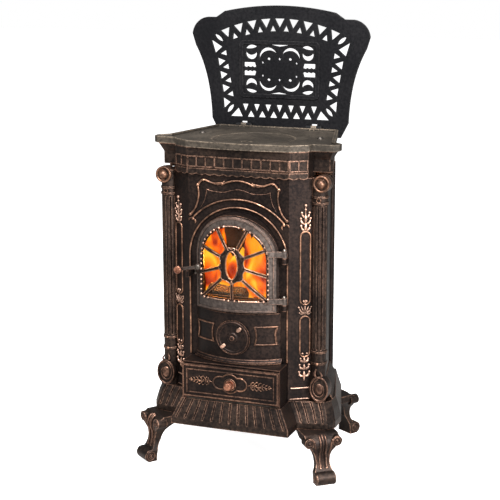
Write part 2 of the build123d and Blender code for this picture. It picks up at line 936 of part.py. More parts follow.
band_plan = [
    (panel_half + 1, front_y - 4),
    (flank_out - 11, front_y + 20),
    (flank_out - 8, front_y + 49),
    (half_top - 24, front_y + 51),
    (half_top - 20, front_y + 62),
    (half_top - 36, front_y + 90),
    (side_rear_x + 6, rear_y + 2),
]
cove_plan = [
    (panel_half + 3, front_y - 4),
    (flank_out - 9, front_y + 19),
    (flank_out - 5, front_y + 37),
    (half_top - 14, front_y + 40),
    (half_top - 5, front_y + 56),
    (half_top - 26, front_y + 90),
    (side_rear_x + 10, rear_y + 8),
]
frame_inner = [
    (120, front_y + 40),
    (flank_out - 14, front_y + 55),
    (flank_out, front_y + 90),
    (side_rear_x - 15, rear_y - 30),
]
ear_plan = [
    (flank_out - 7, front_y + 50),
    (half_top - 25, front_y + 52),
    (half_top - 21, front_y + 62),
    (half_top - 34, front_y + 83),
    (flank_out - 7, front_y + 79),
]
cove_z = plate_z - 22
reed_z = cornice_z + 17
corbel_z = cornice_z + 11
frame_wall = 8
reed_pitch = 23.4
reed_wide = 3.2
line_high = 3
scallop_top_z = cornice_z + 13
scallop_cusp_z = cornice_z + 1.5
scallop_low_z = cornice_z - 2.8


def reeded_band(start, end):
    """The relief on one face of the band: two lines, upright reeds and scallops."""
    length = face_length(start, end)
    count = round(length / reed_pitch)
    pitch = length / count
    face = face_plane(start, end)
    with BuildPart() as raised:
        with BuildSketch(face.offset(-1)):
            for z in (reed_z, cove_z):
                with Locations((length / 2, z)):
                    Rectangle(length, line_high)
            for k in range(count + 1):
                with Locations((min(max(k * pitch, reed_wide / 2), length - reed_wide / 2),
                                (reed_z + cove_z) / 2)):
                    Rectangle(reed_wide, cove_z - reed_z)
        extrude(amount=1 + relief - 0.4)
        with BuildSketch(face.offset(gap - 4)):
            with BuildLine():
                for k in range(count):
                    ThreePointArc(
                        (k * pitch, scallop_cusp_z),
                        ((k + 0.5) * pitch, scallop_low_z),
                        ((k + 1) * pitch, scallop_cusp_z),
                    )
                Polyline(
                    (length, scallop_cusp_z), (length, scallop_top_z),
                    (0, scallop_top_z), (0, scallop_cusp_z),
                )
            make_face()
        extrude(amount=4 - gap + relief)
    return raised.part


band_front = reeded_band((-band_plan[0][0], band_plan[0][1]), band_plan[0])
band_flank = reeded_band(band_plan[0], band_plan[1])

with BuildPart() as cornice:
    add(extruded(both_sides(band_plan), cornice_z, cove_z))
    cove = [plan_face(band_plan, cove_z), plan_face(cove_plan, plate_z)]
    add(loft(cove, ruled=True, mode=Mode.PRIVATE))
    add(extruded(both_sides(shrunk(band_plan, frame_wall)), cornice_z + 6, plate_z + 1),
        mode=Mode.SUBTRACT)
    add(extruded(both_sides(frame_inner), cornice_z - 1, cornice_z + 7), mode=Mode.SUBTRACT)
    for side in (1, -1):
        corner = [
            (side * (flank_out - 8), front_y + 40),
            (side * half_top, front_y + 40),
            (side * half_top, front_y + 76),
            (side * (flank_out - 8), front_y + 76),
        ]
        add(extruded(corner, cornice_z - 1, corbel_z), mode=Mode.SUBTRACT)
        add(extruded([(side * x, y) for x, y in ear_plan], corbel_z, plate_z - 12))
    add([band_front, band_flank, mirrored(band_flank)])
save(cornice.part, "cornice")

# Cooking plate with a raised rim, a round way and two hinge lugs

rim_wide = 8
plate_top_z = top_z - 5
plate_low_z = plate_z + 3
way_y = front_y + 109
way_r = 92
rebate_r = 104.4
rebate_z = plate_top_z - 6
cover_r = rebate_r - slide_gap
lug_half = 7
lug_r = 6
lid_pin_r = 3
stop_x = 140


def lid_axis_bar(x0, x1, r):
    """A round bar on the lid's hinge axis."""
    with BuildPart() as bar:
        with BuildSketch(Plane.YZ.offset(x0)):
            with Locations((hinge_axis_y, hinge_axis_z)):
                Circle(r)
        extrude(amount=x1 - x0)
    return bar.part


lid_face_y = hinge_axis_y + lid_face_gap

with BuildPart() as top_plate:
    with BuildSketch(Plane.XY.offset(plate_z)):
        add(top_outline(0))
    extrude(amount=plate_thick)
    with BuildSketch(Plane.XY.offset(plate_top_z)):
        add(top_outline(rim_wide))
    extrude(amount=plate_thick, mode=Mode.SUBTRACT)
    add(extruded(both_sides(shrunk(band_plan, frame_wall)), plate_z - 1, plate_low_z),
        mode=Mode.SUBTRACT)
    add(post(0, way_y, plate_z, plate_low_z, rebate_r + 6))
    for side in (1, -1):
        x0 = side * lid_hinge_x - lug_half
        x1 = side * lid_hinge_x + lug_half
        neck = [(x0, rear_y), (x1, rear_y), (x1, hinge_axis_y), (x0, hinge_axis_y)]
        add(extruded(neck, hinge_axis_z - 10, hinge_axis_z))
        add(lid_axis_bar(x0, x1, lug_r))
        rest = [(side * (stop_x - 6), rear_y), (side * (stop_x + 6), rear_y),
                (side * (stop_x + 6), lid_face_y - gap), (side * (stop_x - 6), lid_face_y - gap)]
        add(extruded(rest, plate_z, plate_top_z - 2))
        add(lid_axis_bar(x0 - 1, x1 + 1, lid_pin_r), mode=Mode.SUBTRACT)
        add(post(side * tie_rod_x, tie_rod_y, plate_z - 1, top_z + 1, tie_rod_r + bolt_clearance),
            mode=Mode.SUBTRACT)
    add(post(0, way_y, plate_z - 1, top_z + 1, way_r), mode=Mode.SUBTRACT)
    add(post(0, way_y, rebate_z, top_z + 1, rebate_r), mode=Mode.SUBTRACT)
save(top_plate.part, "top_plate")

with BuildPart() as hot_plate:
    add(turned_up(0, way_y, [
        (rebate_z + gap, cover_r),
        (plate_top_z, cover_r),
        (plate_top_z, cover_r - 5),
        (plate_top_z - 1, cover_r - 6),
        (plate_top_z - 1, cover_r - 9),
        (plate_top_z, cover_r - 10),
    ]))
    with BuildSketch(Plane.XY.offset(plate_top_z)):
        with Locations((0, way_y - 52)):
            SlotOverall(34, 12)
    extrude(amount=-3, mode=Mode.SUBTRACT)
save(hot_plate.part, "hot_plate")

with BuildPart() as tie_rods:
    for x in (-tie_rod_x, tie_rod_x):
        add(turned_up(x, tie_rod_y, [
            (body_z - 14, tie_rod_r),
            (plate_top_z, tie_rod_r),
            (plate_top_z, 9),
            (plate_top_z + 4, 5),
        ]))
save(tie_rods.part, "tie_rods")

with BuildPart() as tie_rod_nuts:
    for x in (-tie_rod_x, tie_rod_x):
        with BuildSketch(Plane.XY.offset(body_z - deck_thick - 6.5)):
            with Locations((x, tie_rod_y)):
                RegularPolygon(7.5, 6)
                Circle(tie_rod_r + pin_clearance, mode=Mode.SUBTRACT)
        extrude(amount=6.5)
save(tie_rod_nuts.part, "tie_rod_nuts")

# Lid: stands upright on two pins at the back of the cooking plate

lid_rise = 310
lid_drop = 24
barrel_gap = 0.5
barrel_length = 12.5
lid_front_y = lid_face_y - 2.3
teeth_r = 400
teeth_centre_z = hinge_axis_z + lid_rise - 433
teeth_step = 5.5
tooth_depth = 24
row_z = hinge_axis_z + 20.5
row_step = 31.3
frame_half = 108.5
frame_low = hinge_axis_z + 73
frame_high = hinge_axis_z + 220
frame_wide = 9.5
openwork_z = (frame_low + frame_high) / 2
openwork_high = (frame_high - frame_low) / 2 - frame_wide


def tooth(x, z, width, depth, angle):
    """A triangle from the middle of its base, with its point at an angle from +X."""
    ux, uz = cos(radians(angle)), sin(radians(angle))
    half = width / 2
    return [(x - half * uz, z + half * ux), (x + half * uz, z - half * ux),
            (x + depth * ux, z + depth * uz)]


def lid_outline():
    """The lid from the front, as distances from its hinge axis."""
    z = hinge_axis_z
    with BuildSketch(upright(lid_face_y + lid_thick)) as shape:
        with BuildLine():
            ThreePointArc((-150, z + lid_rise - 16), (0, z + lid_rise), (150, z + lid_rise - 16))
            for side in (1, -1):
                Polyline(
                    (side * 150, z + lid_rise - 16),
                    (side * (half_top - 66), z + lid_rise - 32),
                    (side * (half_top - 42), z + lid_rise - 32),
                )
                ThreePointArc(
                    (side * (half_top - 42), z + lid_rise - 32),
                    (side * (half_top - 13), z + lid_rise - 46),
                    (side * (half_top + 1), z + lid_rise - 76),
                )
                Line(
                    (side * (half_top + 1), z + lid_rise - 76),
                    (side * (half_top - 8), z + lid_rise - 105),
                )
                Spline(
                    (side * (half_top - 8), z + lid_rise - 105),
                    (side * (half_top - 38), z + lid_rise - 181),
                    (side * (half_top - 49), z + lid_rise - 240),
                    (side * (half_top - 53), z + 15),
                )
                Line((side * (half_top - 53), z + 15), (side * (half_top - 73), z - lid_drop))
            Line((half_top - 73, z - lid_drop), (-half_top + 73, z - lid_drop))
        make_face()
    return shape.sketch


def top_teeth():
    """The two rows of triangles under the curved top of the lid."""
    teeth = []
    for k in range(9):
        a = (k - 4) * teeth_step
        x = teeth_r * sin(radians(a))
        z = teeth_centre_z + teeth_r * cos(radians(a))
        teeth.append(tooth(x, z, 26, tooth_depth, 270 - a))
    inner_r = teeth_r - 32
    for k in range(8):
        a = (k - 3.5) * teeth_step
        x = inner_r * sin(radians(a))
        z = teeth_centre_z + inner_r * cos(radians(a))
        teeth.append(tooth(x, z, 15, 16, 90 - a))
    return teeth


def side_teeth():
    """The two rows of triangles down the right side of the lid."""
    lean = 9.8
    foot_point = (156, hinge_axis_z + 84)
    teeth = []
    for k in range(3):
        z = hinge_axis_z + 93 + 34.5 * k
        x = foot_point[0] + (z - foot_point[1]) * sin(radians(lean))
        teeth.append(tooth(x, z, 22, 20, 180 - lean))
    for k in range(4):
        z = hinge_axis_z + 79.5 + 35.5 * k
        x = foot_point[0] - 27 + (z - foot_point[1]) * sin(radians(lean))
        teeth.append(tooth(x, z, 15, 17, -lean))
    return teeth


def bottom_teeth():
    """The two rows of triangles along the bottom of the lid."""
    outer = [tooth((k - 2.5) * row_step, row_z, 20, 18, 90) for k in range(6)]
    inner = [tooth((k - 3) * row_step, row_z + 34, 16.5, 20.5, -90) for k in range(7)]
    return outer + inner


def corner_teeth():
    """The large triangles at the right corners of the lid."""
    z = hinge_axis_z
    return [
        [(188.4, z + 219.6), (158.5, z + 201.6), (177.5, z + 184.8)],
        [(112.9, z + 43.8), (101.4, z + 20.7), (135, z + 20.5)],
        [(156, z + 69.7), (136, z + 57.7), (153.8, z + 40.7)],
    ]


def both_leaves(teeth):
    """The triangles of the right side, and the same on the left."""
    return teeth + [[(-x, z) for x, z in outline] for outline in teeth]


def leaf(x, z, half_long, half_wide, angle):
    """The ends and the two bulges of a pointed slot, at an angle from +X."""
    ux, uz = cos(radians(angle)), sin(radians(angle))
    return [
        (x - half_long * ux, z - half_long * uz), (x - half_wide * uz, z + half_wide * ux),
        (x + half_long * ux, z + half_long * uz), (x + half_wide * uz, z - half_wide * ux),
    ]


def lid_border():
    """The ring of openings between the edge of the lid and its frame."""
    z = hinge_axis_z
    with BuildSketch(upright(lid_face_y + lid_thick + 1)) as cuts:
        for outline in top_teeth() + bottom_teeth() + both_leaves(side_teeth() + corner_teeth()):
            with BuildLine():
                Polyline(*outline, close=True)
            make_face()
        for side in (1, -1):
            for x, height, half, angle in ((167, 224.6, 14.5, 38), (135.6, 41, 14, -48)):
                start, through, end, back = [
                    (side * px, pz) for px, pz in leaf(x, z + height, half, 4.8, angle)
                ]
                with BuildLine():
                    ThreePointArc(start, through, end)
                    ThreePointArc(end, back, start)
                make_face()
    return cuts.sketch


scroll_cuts = (
    ((62.5, 45), (77, 25), (91, 46), (77, 36)),
    ((62, 58), (77, 62), (92, 53), (77, 53)),
    ((7, 38), (42.9, 52.6), (54, 24), (36.5, 47.5)),
    ((24.5, 27), (29, 30.2), (33.5, 27), (29, 23.8)),
)


def lid_openwork():
    """The openings of the middle panel, a quarter of them four times over."""
    with BuildSketch(upright(lid_face_y + lid_thick + 1)) as cuts:
        for sx, sz in ((1, 1), (-1, 1), (1, -1), (-1, -1)):
            for outline in scroll_cuts:
                start, through, end, back = [(sx * x, openwork_z + sz * z) for x, z in outline]
                with BuildLine():
                    ThreePointArc(start, through, end)
                    ThreePointArc(end, back, start)
                make_face()
            wave = [(sx * (64 + 11 * k), openwork_z + sz * 7) for k in range(4)]
            with BuildLine():
                for left, right in zip(wave, wave[1:]):
                    middle = ((left[0] + right[0]) / 2, openwork_z + sz * 4.5)
                    ThreePointArc(left, middle, right)
                Polyline(wave[-1], (sx * 97, openwork_z + sz * 17), (sx * 67, openwork_z + sz * 17),
                         wave[0])
            make_face()
            with Locations((sx * 46, openwork_z + sz * 17)):
                RegularPolygon(2.8, 6)
        for sz in (1, -1):
            with Locations((0, openwork_z + sz * 27)):
                RegularPolygon(3.2, 6)
            with BuildLine():
                Polyline((-25, openwork_z + sz * (openwork_high - 0.5)),
                         (25, openwork_z + sz * (openwork_high - 0.5)),
                         (0, openwork_z + sz * 59), close=True)
            make_face()
    return cuts.sketch


def lid_frame():
    """The raised rounded frame round the middle panel of the lid."""
    high = frame_high - frame_low
    with BuildPart() as raised:
        with BuildSketch(upright(lid_face_y + 1)):
            with Locations((0, openwork_z)):
                RectangleRounded(2 * frame_half, high, 12)
                RectangleRounded(2 * (frame_half - frame_wide), high - 2 * frame_wide, 4,
                                 mode=Mode.SUBTRACT)
        extrude(amount=lid_face_y + 1 - lid_front_y)
    return raised.part


with BuildPart() as lid_cuts:
    extrude(lid_border(), amount=lid_thick + 2)
    extrude(lid_openwork(), amount=lid_thick + 2)

with BuildPart() as lid:
    with BuildSketch(upright(lid_face_y + lid_thick)):
        add(lid_outline())
    extrude(amount=lid_thick)
    for side in (1, -1):
        x0 = side * lid_hinge_x - lug_half - barrel_gap
        x1 = side * lid_hinge_x + lug_half + barrel_gap
        notch = [(x0, hinge_axis_y), (x1, hinge_axis_y),
                 (x1, hinge_axis_y + 30), (x0, hinge_axis_y + 30)]
        add(extruded(notch, hinge_axis_z - 40, hinge_axis_z + 9), mode=Mode.SUBTRACT)
        add(lid_axis_bar(x0 - barrel_length, x0, lug_r))
        add(lid_axis_bar(x1, x1 + barrel_length, lug_r))
        add(lid_axis_bar(x0 - barrel_length - 1, x1 + barrel_length + 1, lid_pin_r),
            mode=Mode.SUBTRACT)
    add(lid_frame())
    add(lid_cuts.part, mode=Mode.SUBTRACT)
save(lid.part, "lid")

with BuildPart() as lid_hinge_pins:
    for side in (1, -1):
        x0 = side * lid_hinge_x - lug_half - barrel_gap - barrel_length
        x1 = side * lid_hinge_x + lug_half + barrel_gap + barrel_length
        add(lid_axis_bar(x0 - 1, x1 + 1, lid_pin_r - pin_clearance))
save(lid_hinge_pins.part, "lid_hinge_pins")

# Door: a bowed frame, a sunburst grille, glass, its gasket and clips

door_low_z = door_z + 2
window_z = arch_z - 5
rebate_half = window_half + 4
glass_front_r = bow_r - 4.5
strap_half = 7.2


def arched_shell(half, z0, centre_z, r_out, r_in):
    """A bowed sheet with an arched outline, seen from the front."""
    with BuildPart() as sheet:
        add(arch_block(half, z0, centre_z, bow_front_y - 10, bow_centre_y - 50))
        add(bowed_shell(r_out, r_in, z0 - 1, centre_z + half + 1), mode=Mode.INTERSECT)
    return sheet.part


def strap(z):
    """A hinge strap that runs from the face of the door to a knuckle."""
    start_x = window_half - 5
    link_x = door_half - 4
    with BuildPart() as piece:
        add(bowed_shell(bow_r + 3, bow_r - 1, z - strap_half, z + strap_half))
        reach = [(start_x, bow_front_y), (link_x, bow_front_y), (link_x, front_y), (start_x, front_y)]
        add(extruded(reach, z - strap_half, z + strap_half), mode=Mode.INTERSECT)
        add(drum(start_x, bow_y(start_x, bow_r + 3), bow_y(start_x, bow_r - 1), z, strap_half))
        link = [
            (link_x - 0.1, bow_y(link_x, bow_r + 3)), (hinge_x, hinge_y - knuckle_r + 1),
            (hinge_x, hinge_y), (link_x - 0.1, bow_y(link_x, bow_r - 1)),
        ]
        add(extruded(link, z - strap_half, z + strap_half))
        add(post(hinge_x, hinge_y, z - knuckle_height / 2, z + knuckle_height / 2, knuckle_r))
    return piece.part


latch_boss_y = bow_y(latch_x + 7, bow_r) - 1.5

with BuildPart() as door_frame:
    add(arched_shell(door_half, door_low_z, arch_z, bow_r, bow_r - door_thick))
    add(arched_shell(door_half - 2, door_low_z + 2, arch_z, bow_r + 1.5, bow_r - 1))
    add(arched_shell(door_half - 6, door_low_z + 6, arch_z, bow_r + 2, bow_r), mode=Mode.SUBTRACT)
    for z in hinge_zs:
        add(strap(z))
    add(drum(latch_x, latch_boss_y, latch_boss_y + 8, latch_z, 7))
    add(arched_shell(window_half, window_bottom + 4, window_z, bow_r + 6, bow_r - 12), mode=Mode.SUBTRACT)
    add(arched_shell(rebate_half, window_bottom, window_z, bow_r - 4.4, bow_r - 12), mode=Mode.SUBTRACT)
    for z in hinge_zs:
        add(post(hinge_x, hinge_y, z - knuckle_height, z + knuckle_height, hinge_pin_r),
            mode=Mode.SUBTRACT)
    add(drum(latch_x, latch_boss_y - 5, latch_boss_y + 5, latch_z, latch_screw_r + pin_clearance),
        mode=Mode.SUBTRACT)
save(door_frame.part, "door_frame")

sun_z = window_z - 11.5
ring_wide = 20.5
ring_high = 40
ring_band = 6.5
spoke_wide = 8.5
spoke_root = 8
grille_border = 5
grille_low_z = window_bottom + 4 + gap
grille_outer_r = bow_r - 0.5
grille_inner_r = bow_r - 4
groove_floor_r = grille_outer_r - 1.6

# Each spoke's inner end beside the sun's centre, and its angle from +X
spokes = (
    ((14, 40.5), 62.4),
    ((31, 19.5), 21.4),
    ((34, -8.5), -19.1),
    ((27, -35.5), -42.5),
)
low_spoke = ((0, -44.5), -90)


def spoke(inner, angle, width, root):
    """A straight bar outwards from a point beside the sun's centre."""
    ux, uz = cos(radians(angle)), sin(radians(angle))
    x0, z0 = inner[0] - root * ux, sun_z + inner[1] - root * uz
    x1, z1 = x0 + 3 * window_half * ux, z0 + 3 * window_half * uz
    nx, nz = -uz * width / 2, ux * width / 2
    return [(x0 + nx, z0 + nz), (x1 + nx, z1 + nz), (x1 - nx, z1 - nz), (x0 - nx, z0 - nz)]


def grille_bars(inset, root, edge):
    """The rays and the oval in the middle, bowed like the door, drawn in by inset."""
    width = spoke_wide - 2 * inset
    band = ring_band - inset
    with BuildPart() as bars:
        with BuildSketch(upright(bow_centre_y - 50)):
            for inner, angle in spokes:
                for side in (1, -1):
                    with BuildLine():
                        bar = spoke(inner, angle, width, root)
                        Polyline(*[(side * x, z) for x, z in bar], close=True)
                    make_face()
            with BuildLine():
                Polyline(*spoke(*low_spoke, width, root), close=True)
            make_face()
            with Locations((0, sun_z)):
                Ellipse(ring_wide - inset, ring_high - inset)
                Ellipse(ring_wide - band, ring_high - band, mode=Mode.SUBTRACT)
        extrude(amount=140)
        add(arch_block(window_half - edge, grille_low_z + edge - gap, window_z,
                       bow_front_y - 10, bow_centre_y - 50), mode=Mode.INTERSECT)
    return bars.part


with BuildPart() as grille_grooves:
    add(grille_bars(2.6, -3, grille_border + 2))
    add(bowed_shell(bow_r + 2, groove_floor_r, window_bottom, door_top_z), mode=Mode.INTERSECT)

with BuildPart() as door_grille:
    add(arched_shell(window_half - gap, grille_low_z, window_z, grille_outer_r, grille_inner_r))
    add(arched_shell(window_half - grille_border, grille_low_z + grille_border, window_z,
                     bow_r + 1, bow_r - 9), mode=Mode.SUBTRACT)
    with BuildPart(mode=Mode.PRIVATE) as rays:
        add(grille_bars(0, spoke_root, gap))
        add(bowed_shell(grille_outer_r, grille_inner_r, window_bottom, door_top_z),
            mode=Mode.INTERSECT)
    add(rays.part)
    add(grille_grooves.part, mode=Mode.SUBTRACT)
save(door_grille.part, "door_grille")

glass_inner_r = bow_r - door_thick + 0.4
with BuildPart() as door_glass:
    add(arched_shell(rebate_half - gap, window_bottom + gap, window_z, glass_front_r, glass_inner_r))
save(door_glass.part, "door_glass")

gasket_half = rebate_half + 5.5
with BuildPart() as glass_gasket:
    add(arched_shell(gasket_half, window_bottom - 14, window_z, bow_r - door_thick, bay_r + gap))
    add(arched_shell(gasket_half - 4, window_bottom - 10, window_z, bow_r, bay_r - 1), mode=Mode.SUBTRACT)
save(glass_gasket.part, "glass_gasket")

clip_r = bow_r - door_thick
with BuildPart() as glass_clips:
    for x in (-1, 1):
        for z in (window_z - 70, window_z - 12):
            tab = [
                (x * (rebate_half - 7), bow_front_y), (x * (rebate_half + 1.2), bow_front_y),
                (x * (rebate_half + 1.2), front_y), (x * (rebate_half - 7), front_y),
            ]
            add(extruded(tab, z - 5, z + 5))
    add(bowed_shell(clip_r, clip_r - 1.5, door_low_z, door_top_z), mode=Mode.INTERSECT)
save(glass_clips.part, "glass_clips")

with BuildPart() as door_hinge_pins:
    for z in hinge_zs:
        low = z - knuckle_height / 2 - gap - socket_height
        high = z + knuckle_height / 2 + gap
        pin_r = hinge_pin_r - pin_clearance
        add(turned_up(hinge_x, hinge_y, [(low, pin_r), (high, pin_r), (high, 4.6), (high + 4, 2)]))
save(door_hinge_pins.part, "door_hinge_pins")

# Latch: a lever with a disc knob, its screw, and the keeper it drops behind

lever_back_y = latch_boss_y - gap
lever_thick = 4
lever_front_y = lever_back_y - lever_thick
arm_half = 4

with BuildPart() as latch_lever:
    add(drum(latch_x, lever_front_y, lever_back_y, latch_z, 8))
    with BuildSketch(upright(lever_back_y)):
        with BuildLine():
            Polyline(
                (latch_x, latch_z + arm_half),
                (knob_x, knob_z + arm_half),
                (knob_x - 4, knob_z),
                (knob_x, knob_z - arm_half),
                (latch_x, latch_z - arm_half),
                close=True,
            )
        make_face()
    extrude(amount=lever_thick)
    add(drum(latch_x, lever_front_y - 1, lever_back_y + 1, latch_z, latch_screw_r + pin_clearance),
        mode=Mode.SUBTRACT)
save(latch_lever.part, "latch_lever")

latch_knob = turned(knob_x, knob_z, [
    (lever_front_y, 5),
    (lever_front_y - 3, 4),
    (lever_front_y - 4, 9.5),
    (lever_front_y - 8, 10),
    (lever_front_y - 10, 8.5),
    (lever_front_y - 9, 4),
])
save(latch_knob, "latch_knob")

latch_screw = turned(latch_x, latch_z, [
    (latch_boss_y + 5, latch_screw_r),
    (lever_front_y - gap, latch_screw_r),
    (lever_front_y - gap, 6),
    (lever_front_y - gap - 1.5, 6),
    (lever_front_y - gap - 3, 3.5),
])
save(latch_screw, "latch_screw")

keeper_foot = 3
keeper_reach = 12
keeper_hook = 4
keeper_head_r = 3.3
keeper_head_high = 1.8
notch_room = 0.6
notch_depth = 4.7
notch_front_y = lever_front_y - notch_room

with BuildPart() as latch_keeper:
    hook = [
        (keeper_x - keeper_half, notch_front_y - keeper_hook),
        (keeper_x + keeper_half, notch_front_y - keeper_hook),
        (keeper_x + keeper_half, front_y),
        (keeper_x - keeper_half, front_y),
    ]
    foot = [
        (keeper_x - keeper_half, front_y - keeper_foot),
        (keeper_x + keeper_reach, front_y - keeper_foot),
        (keeper_x + keeper_reach, front_y),
        (keeper_x - keeper_half, front_y),
    ]
    slot = [
        (keeper_x - keeper_half - 1, notch_front_y), (keeper_x + keeper_half + 1, notch_front_y),
        (keeper_x + keeper_half + 1, lever_back_y + notch_room),
        (keeper_x - keeper_half - 1, lever_back_y + notch_room),
    ]
    add(extruded(hook, keeper_z, keeper_top_z))
    add(extruded(foot, keeper_z, keeper_top_z))
    add(extruded(slot, keeper_top_z - notch_depth, keeper_top_z + 1), mode=Mode.SUBTRACT)
    for x, z in keeper_screws_at:
        add(drum(x, front_y - 10, front_y, z, keeper_screw_r + pin_clearance), mode=Mode.SUBTRACT)
save(latch_keeper.part, "latch_keeper")

with BuildPart() as keeper_screws:
    for x, z in keeper_screws_at:
        add(drum(x, front_y - keeper_foot, front_y + keeper_screw_depth, z, keeper_screw_r))
        with BuildSketch(upright(front_y - keeper_foot)):
            with Locations((x, z)):
                RegularPolygon(keeper_head_r, 6)
        extrude(amount=keeper_head_high)
save(keeper_screws.part, "keeper_screws")

# Air valve: a disc with a threaded stud, screwed in and out of its round seat

seat_front_y = bow_y(0, valve_r) - seat_proud
disc_back_y = seat_front_y - 0.5
disc_r = seat_r - 2.5
disc_thick = 4.5
disc_front_y = disc_back_y - disc_thick
stud_front_y = disc_back_y - 3
nut_y = bow_y(0, valve_r) + hub_back + gap

valve_spindle = drum(0, stud_front_y, nut_y + 9, valve_z, spindle_r)
save(valve_spindle, "valve_spindle")

with BuildPart() as valve_nut:
    with BuildSketch(upright(nut_y + 6)):
        with Locations((0, valve_z)):
            RegularPolygon(8, 6)
            Circle(spindle_r + pin_clearance, mode=Mode.SUBTRACT)
    extrude(amount=6)
save(valve_nut.part, "valve_nut")

tabs = [(18, 23), (-24, -22)]
with BuildPart() as valve_disc:
    add(turned(0, valve_z, [
        (disc_back_y, disc_r),
        (disc_front_y + 1, disc_r),
        (disc_front_y, disc_r - 1),
        (disc_front_y, 34),
        (disc_front_y + 1.2, 33),
        (disc_front_y + 1.2, 14),
        (disc_front_y - 1, 12),
        (disc_front_y - 1.5, 8),
    ]))
    for x, z in tabs:
        with BuildSketch(upright(disc_front_y + 2)):
            with Locations((x, valve_z + z)):
                Rectangle(10, 6)
        extrude(amount=5)
    add(drum(0, stud_front_y - gap, disc_back_y + 1, valve_z, spindle_r + pin_clearance),
        mode=Mode.SUBTRACT)
save(valve_disc.part, "valve_disc")

valve_rivet = turned(0, valve_z, [
    (disc_front_y - 1.5, 6.5),
    (disc_front_y - 3, 6),
    (disc_front_y - 4.5, 3),
])
save(valve_rivet, "valve_rivet")

# Ash drawer: a tray with a framed front and a turned knob

drawer_back_y = front_y + 199
tray_front_y = housing_front_y - slide_gap
front_face_y = tray_front_y - drawer_front_thick
tray_top_z = housing_z - wall - 12
tray_wall = 2
rail_in = 22
rail_out = 8
drawer_knob_z = drawer_z + 41

with BuildPart() as drawer_tray:
    add(wide_block(tray_half, tray_front_y, drawer_back_y, drawer_z, tray_top_z))
    add(wide_block(tray_half - tray_wall, tray_front_y + tray_wall, drawer_back_y - tray_wall,
                   drawer_z + tray_wall, tray_top_z + 1), mode=Mode.SUBTRACT)
save(drawer_tray.part, "drawer_tray")

drawer_mid_z = (drawer_z + drawer_top_z) / 2
drawer_frames = ((3, 2.4), (12.5, 2.4))
lobe_x = 25
lobe_wide = 20.5
lobe_high = 18
lobe_middle_r = 25.5
lobe_line = 3
cartouche_z = drawer_mid_z + 2
with BuildPart() as drawer_front:
    add(wide_block(drawer_front_half, front_face_y, tray_front_y, drawer_z, drawer_top_z))
    for inset, width in drawer_frames:
        path = rectangle_path(drawer_front_half - inset, drawer_z + inset, drawer_top_z - inset)
        add(ribbon(path, width, front_face_y + 1, front_face_y - 2))
    with BuildSketch(upright(front_face_y + 1)):
        with Locations((-lobe_x, cartouche_z), (lobe_x, cartouche_z)):
            Ellipse(lobe_wide, lobe_high)
        with Locations((0, cartouche_z)):
            Circle(lobe_middle_r)
        with Locations((-lobe_x, cartouche_z), (lobe_x, cartouche_z)):
            Ellipse(lobe_wide - lobe_line, lobe_high - lobe_line, mode=Mode.SUBTRACT)
        with Locations((0, cartouche_z)):
            Circle(lobe_middle_r - lobe_line, mode=Mode.SUBTRACT)
    extrude(amount=2.5)
    add(drum(0, front_face_y - 3, tray_front_y + 1, drawer_knob_z, 3), mode=Mode.SUBTRACT)
save(drawer_front.part, "drawer_front")

drawer_knob = turned(0, drawer_knob_z, [
    (front_face_y, 12),
    (front_face_y - 2, 12),
    (front_face_y - 3, 5),
    (front_face_y - 9, 4.5),
    (front_face_y - 11, 9),
    (front_face_y - 15, 11),
    (front_face_y - 20, 9),
    (front_face_y - 22, 4),
])
save(drawer_knob, "drawer_knob")

drawer_screw = turned(0, drawer_knob_z, [
    (front_face_y, 3 - pin_clearance),
    (tray_front_y, 3 - pin_clearance),
])
save(drawer_screw, "drawer_screw")

with BuildPart() as drawer_runners:
    for side in (1, -1):
        rail = [
            (side * (tray_half - rail_in), housing_front_y + 6),
            (side * (tray_half - rail_out), housing_front_y + 6),
            (side * (tray_half - rail_out), drawer_back_y + 30),
            (side * (tray_half - rail_in), drawer_back_y + 30),
        ]
        add(extruded(rail, body_z + floor_thick, drawer_z - gap))
save(drawer_runners.part, "drawer_runners")

# Firebox: shelf, grate, firebricks, baffle and log guard

shelf_z = door_z - 18
shelf_thick = 6
shelf_top_z = shelf_z + shelf_thick
brick_high = 196
baffle_thick = 6
baffle_gas_way = 70
grate_half = 105
grate_thick = 10
grate_seat = 10
grate_front_y = front_y + 34
grate_rear_y = front_y + 234
brick_top_z = shelf_top_z + brick_high
brick_thick = 25
baffle_rear_y = grate_rear_y + brick_thick
brick_out = side_x(baffle_rear_y) - wall - 0.1

shelf_plan = [
    (panel_half - 12, front_y + wall + gap),
    (side_x(front_y + 64) - wall - 1, front_y + 64),
    (side_x(rear_y - 15) - wall - 1, rear_y - 15),
    (rear_post_x - rear_post_r - 7, rear_y - wall - gap),
]
with BuildPart() as grate_shelf:
    add(extruded(both_sides(shelf_plan), shelf_z, shelf_top_z))
    add(wide_block(grate_half - grate_seat, grate_front_y + grate_seat, grate_rear_y - grate_seat,
                   shelf_z - 1, shelf_top_z + 1), mode=Mode.SUBTRACT)
    for x in (-tie_rod_x, tie_rod_x):
        add(post(x, tie_rod_y, shelf_z - 1, shelf_top_z + 1, tie_rod_r + bolt_clearance),
            mode=Mode.SUBTRACT)
save(grate_shelf.part, "grate_shelf")

bar_pitch = 17.5
slot_count = 11
slot_wide = 7.5
slot_long = 80
slot_row_y = 46
with BuildPart() as grate:
    add(wide_block(grate_half, grate_front_y, grate_rear_y, shelf_top_z, shelf_top_z + grate_thick))
    with BuildSketch(Plane.XY.offset(shelf_top_z + grate_thick + 1)):
        for row in (-1, 1):
            middle = (grate_front_y + grate_rear_y) / 2 + row * slot_row_y
            with Locations((0, middle)):
                with GridLocations(bar_pitch, 1, slot_count, 1):
                    Rectangle(slot_wide, slot_long)
    extrude(amount=-grate_thick - 2, mode=Mode.SUBTRACT)
save(grate.part, "grate")

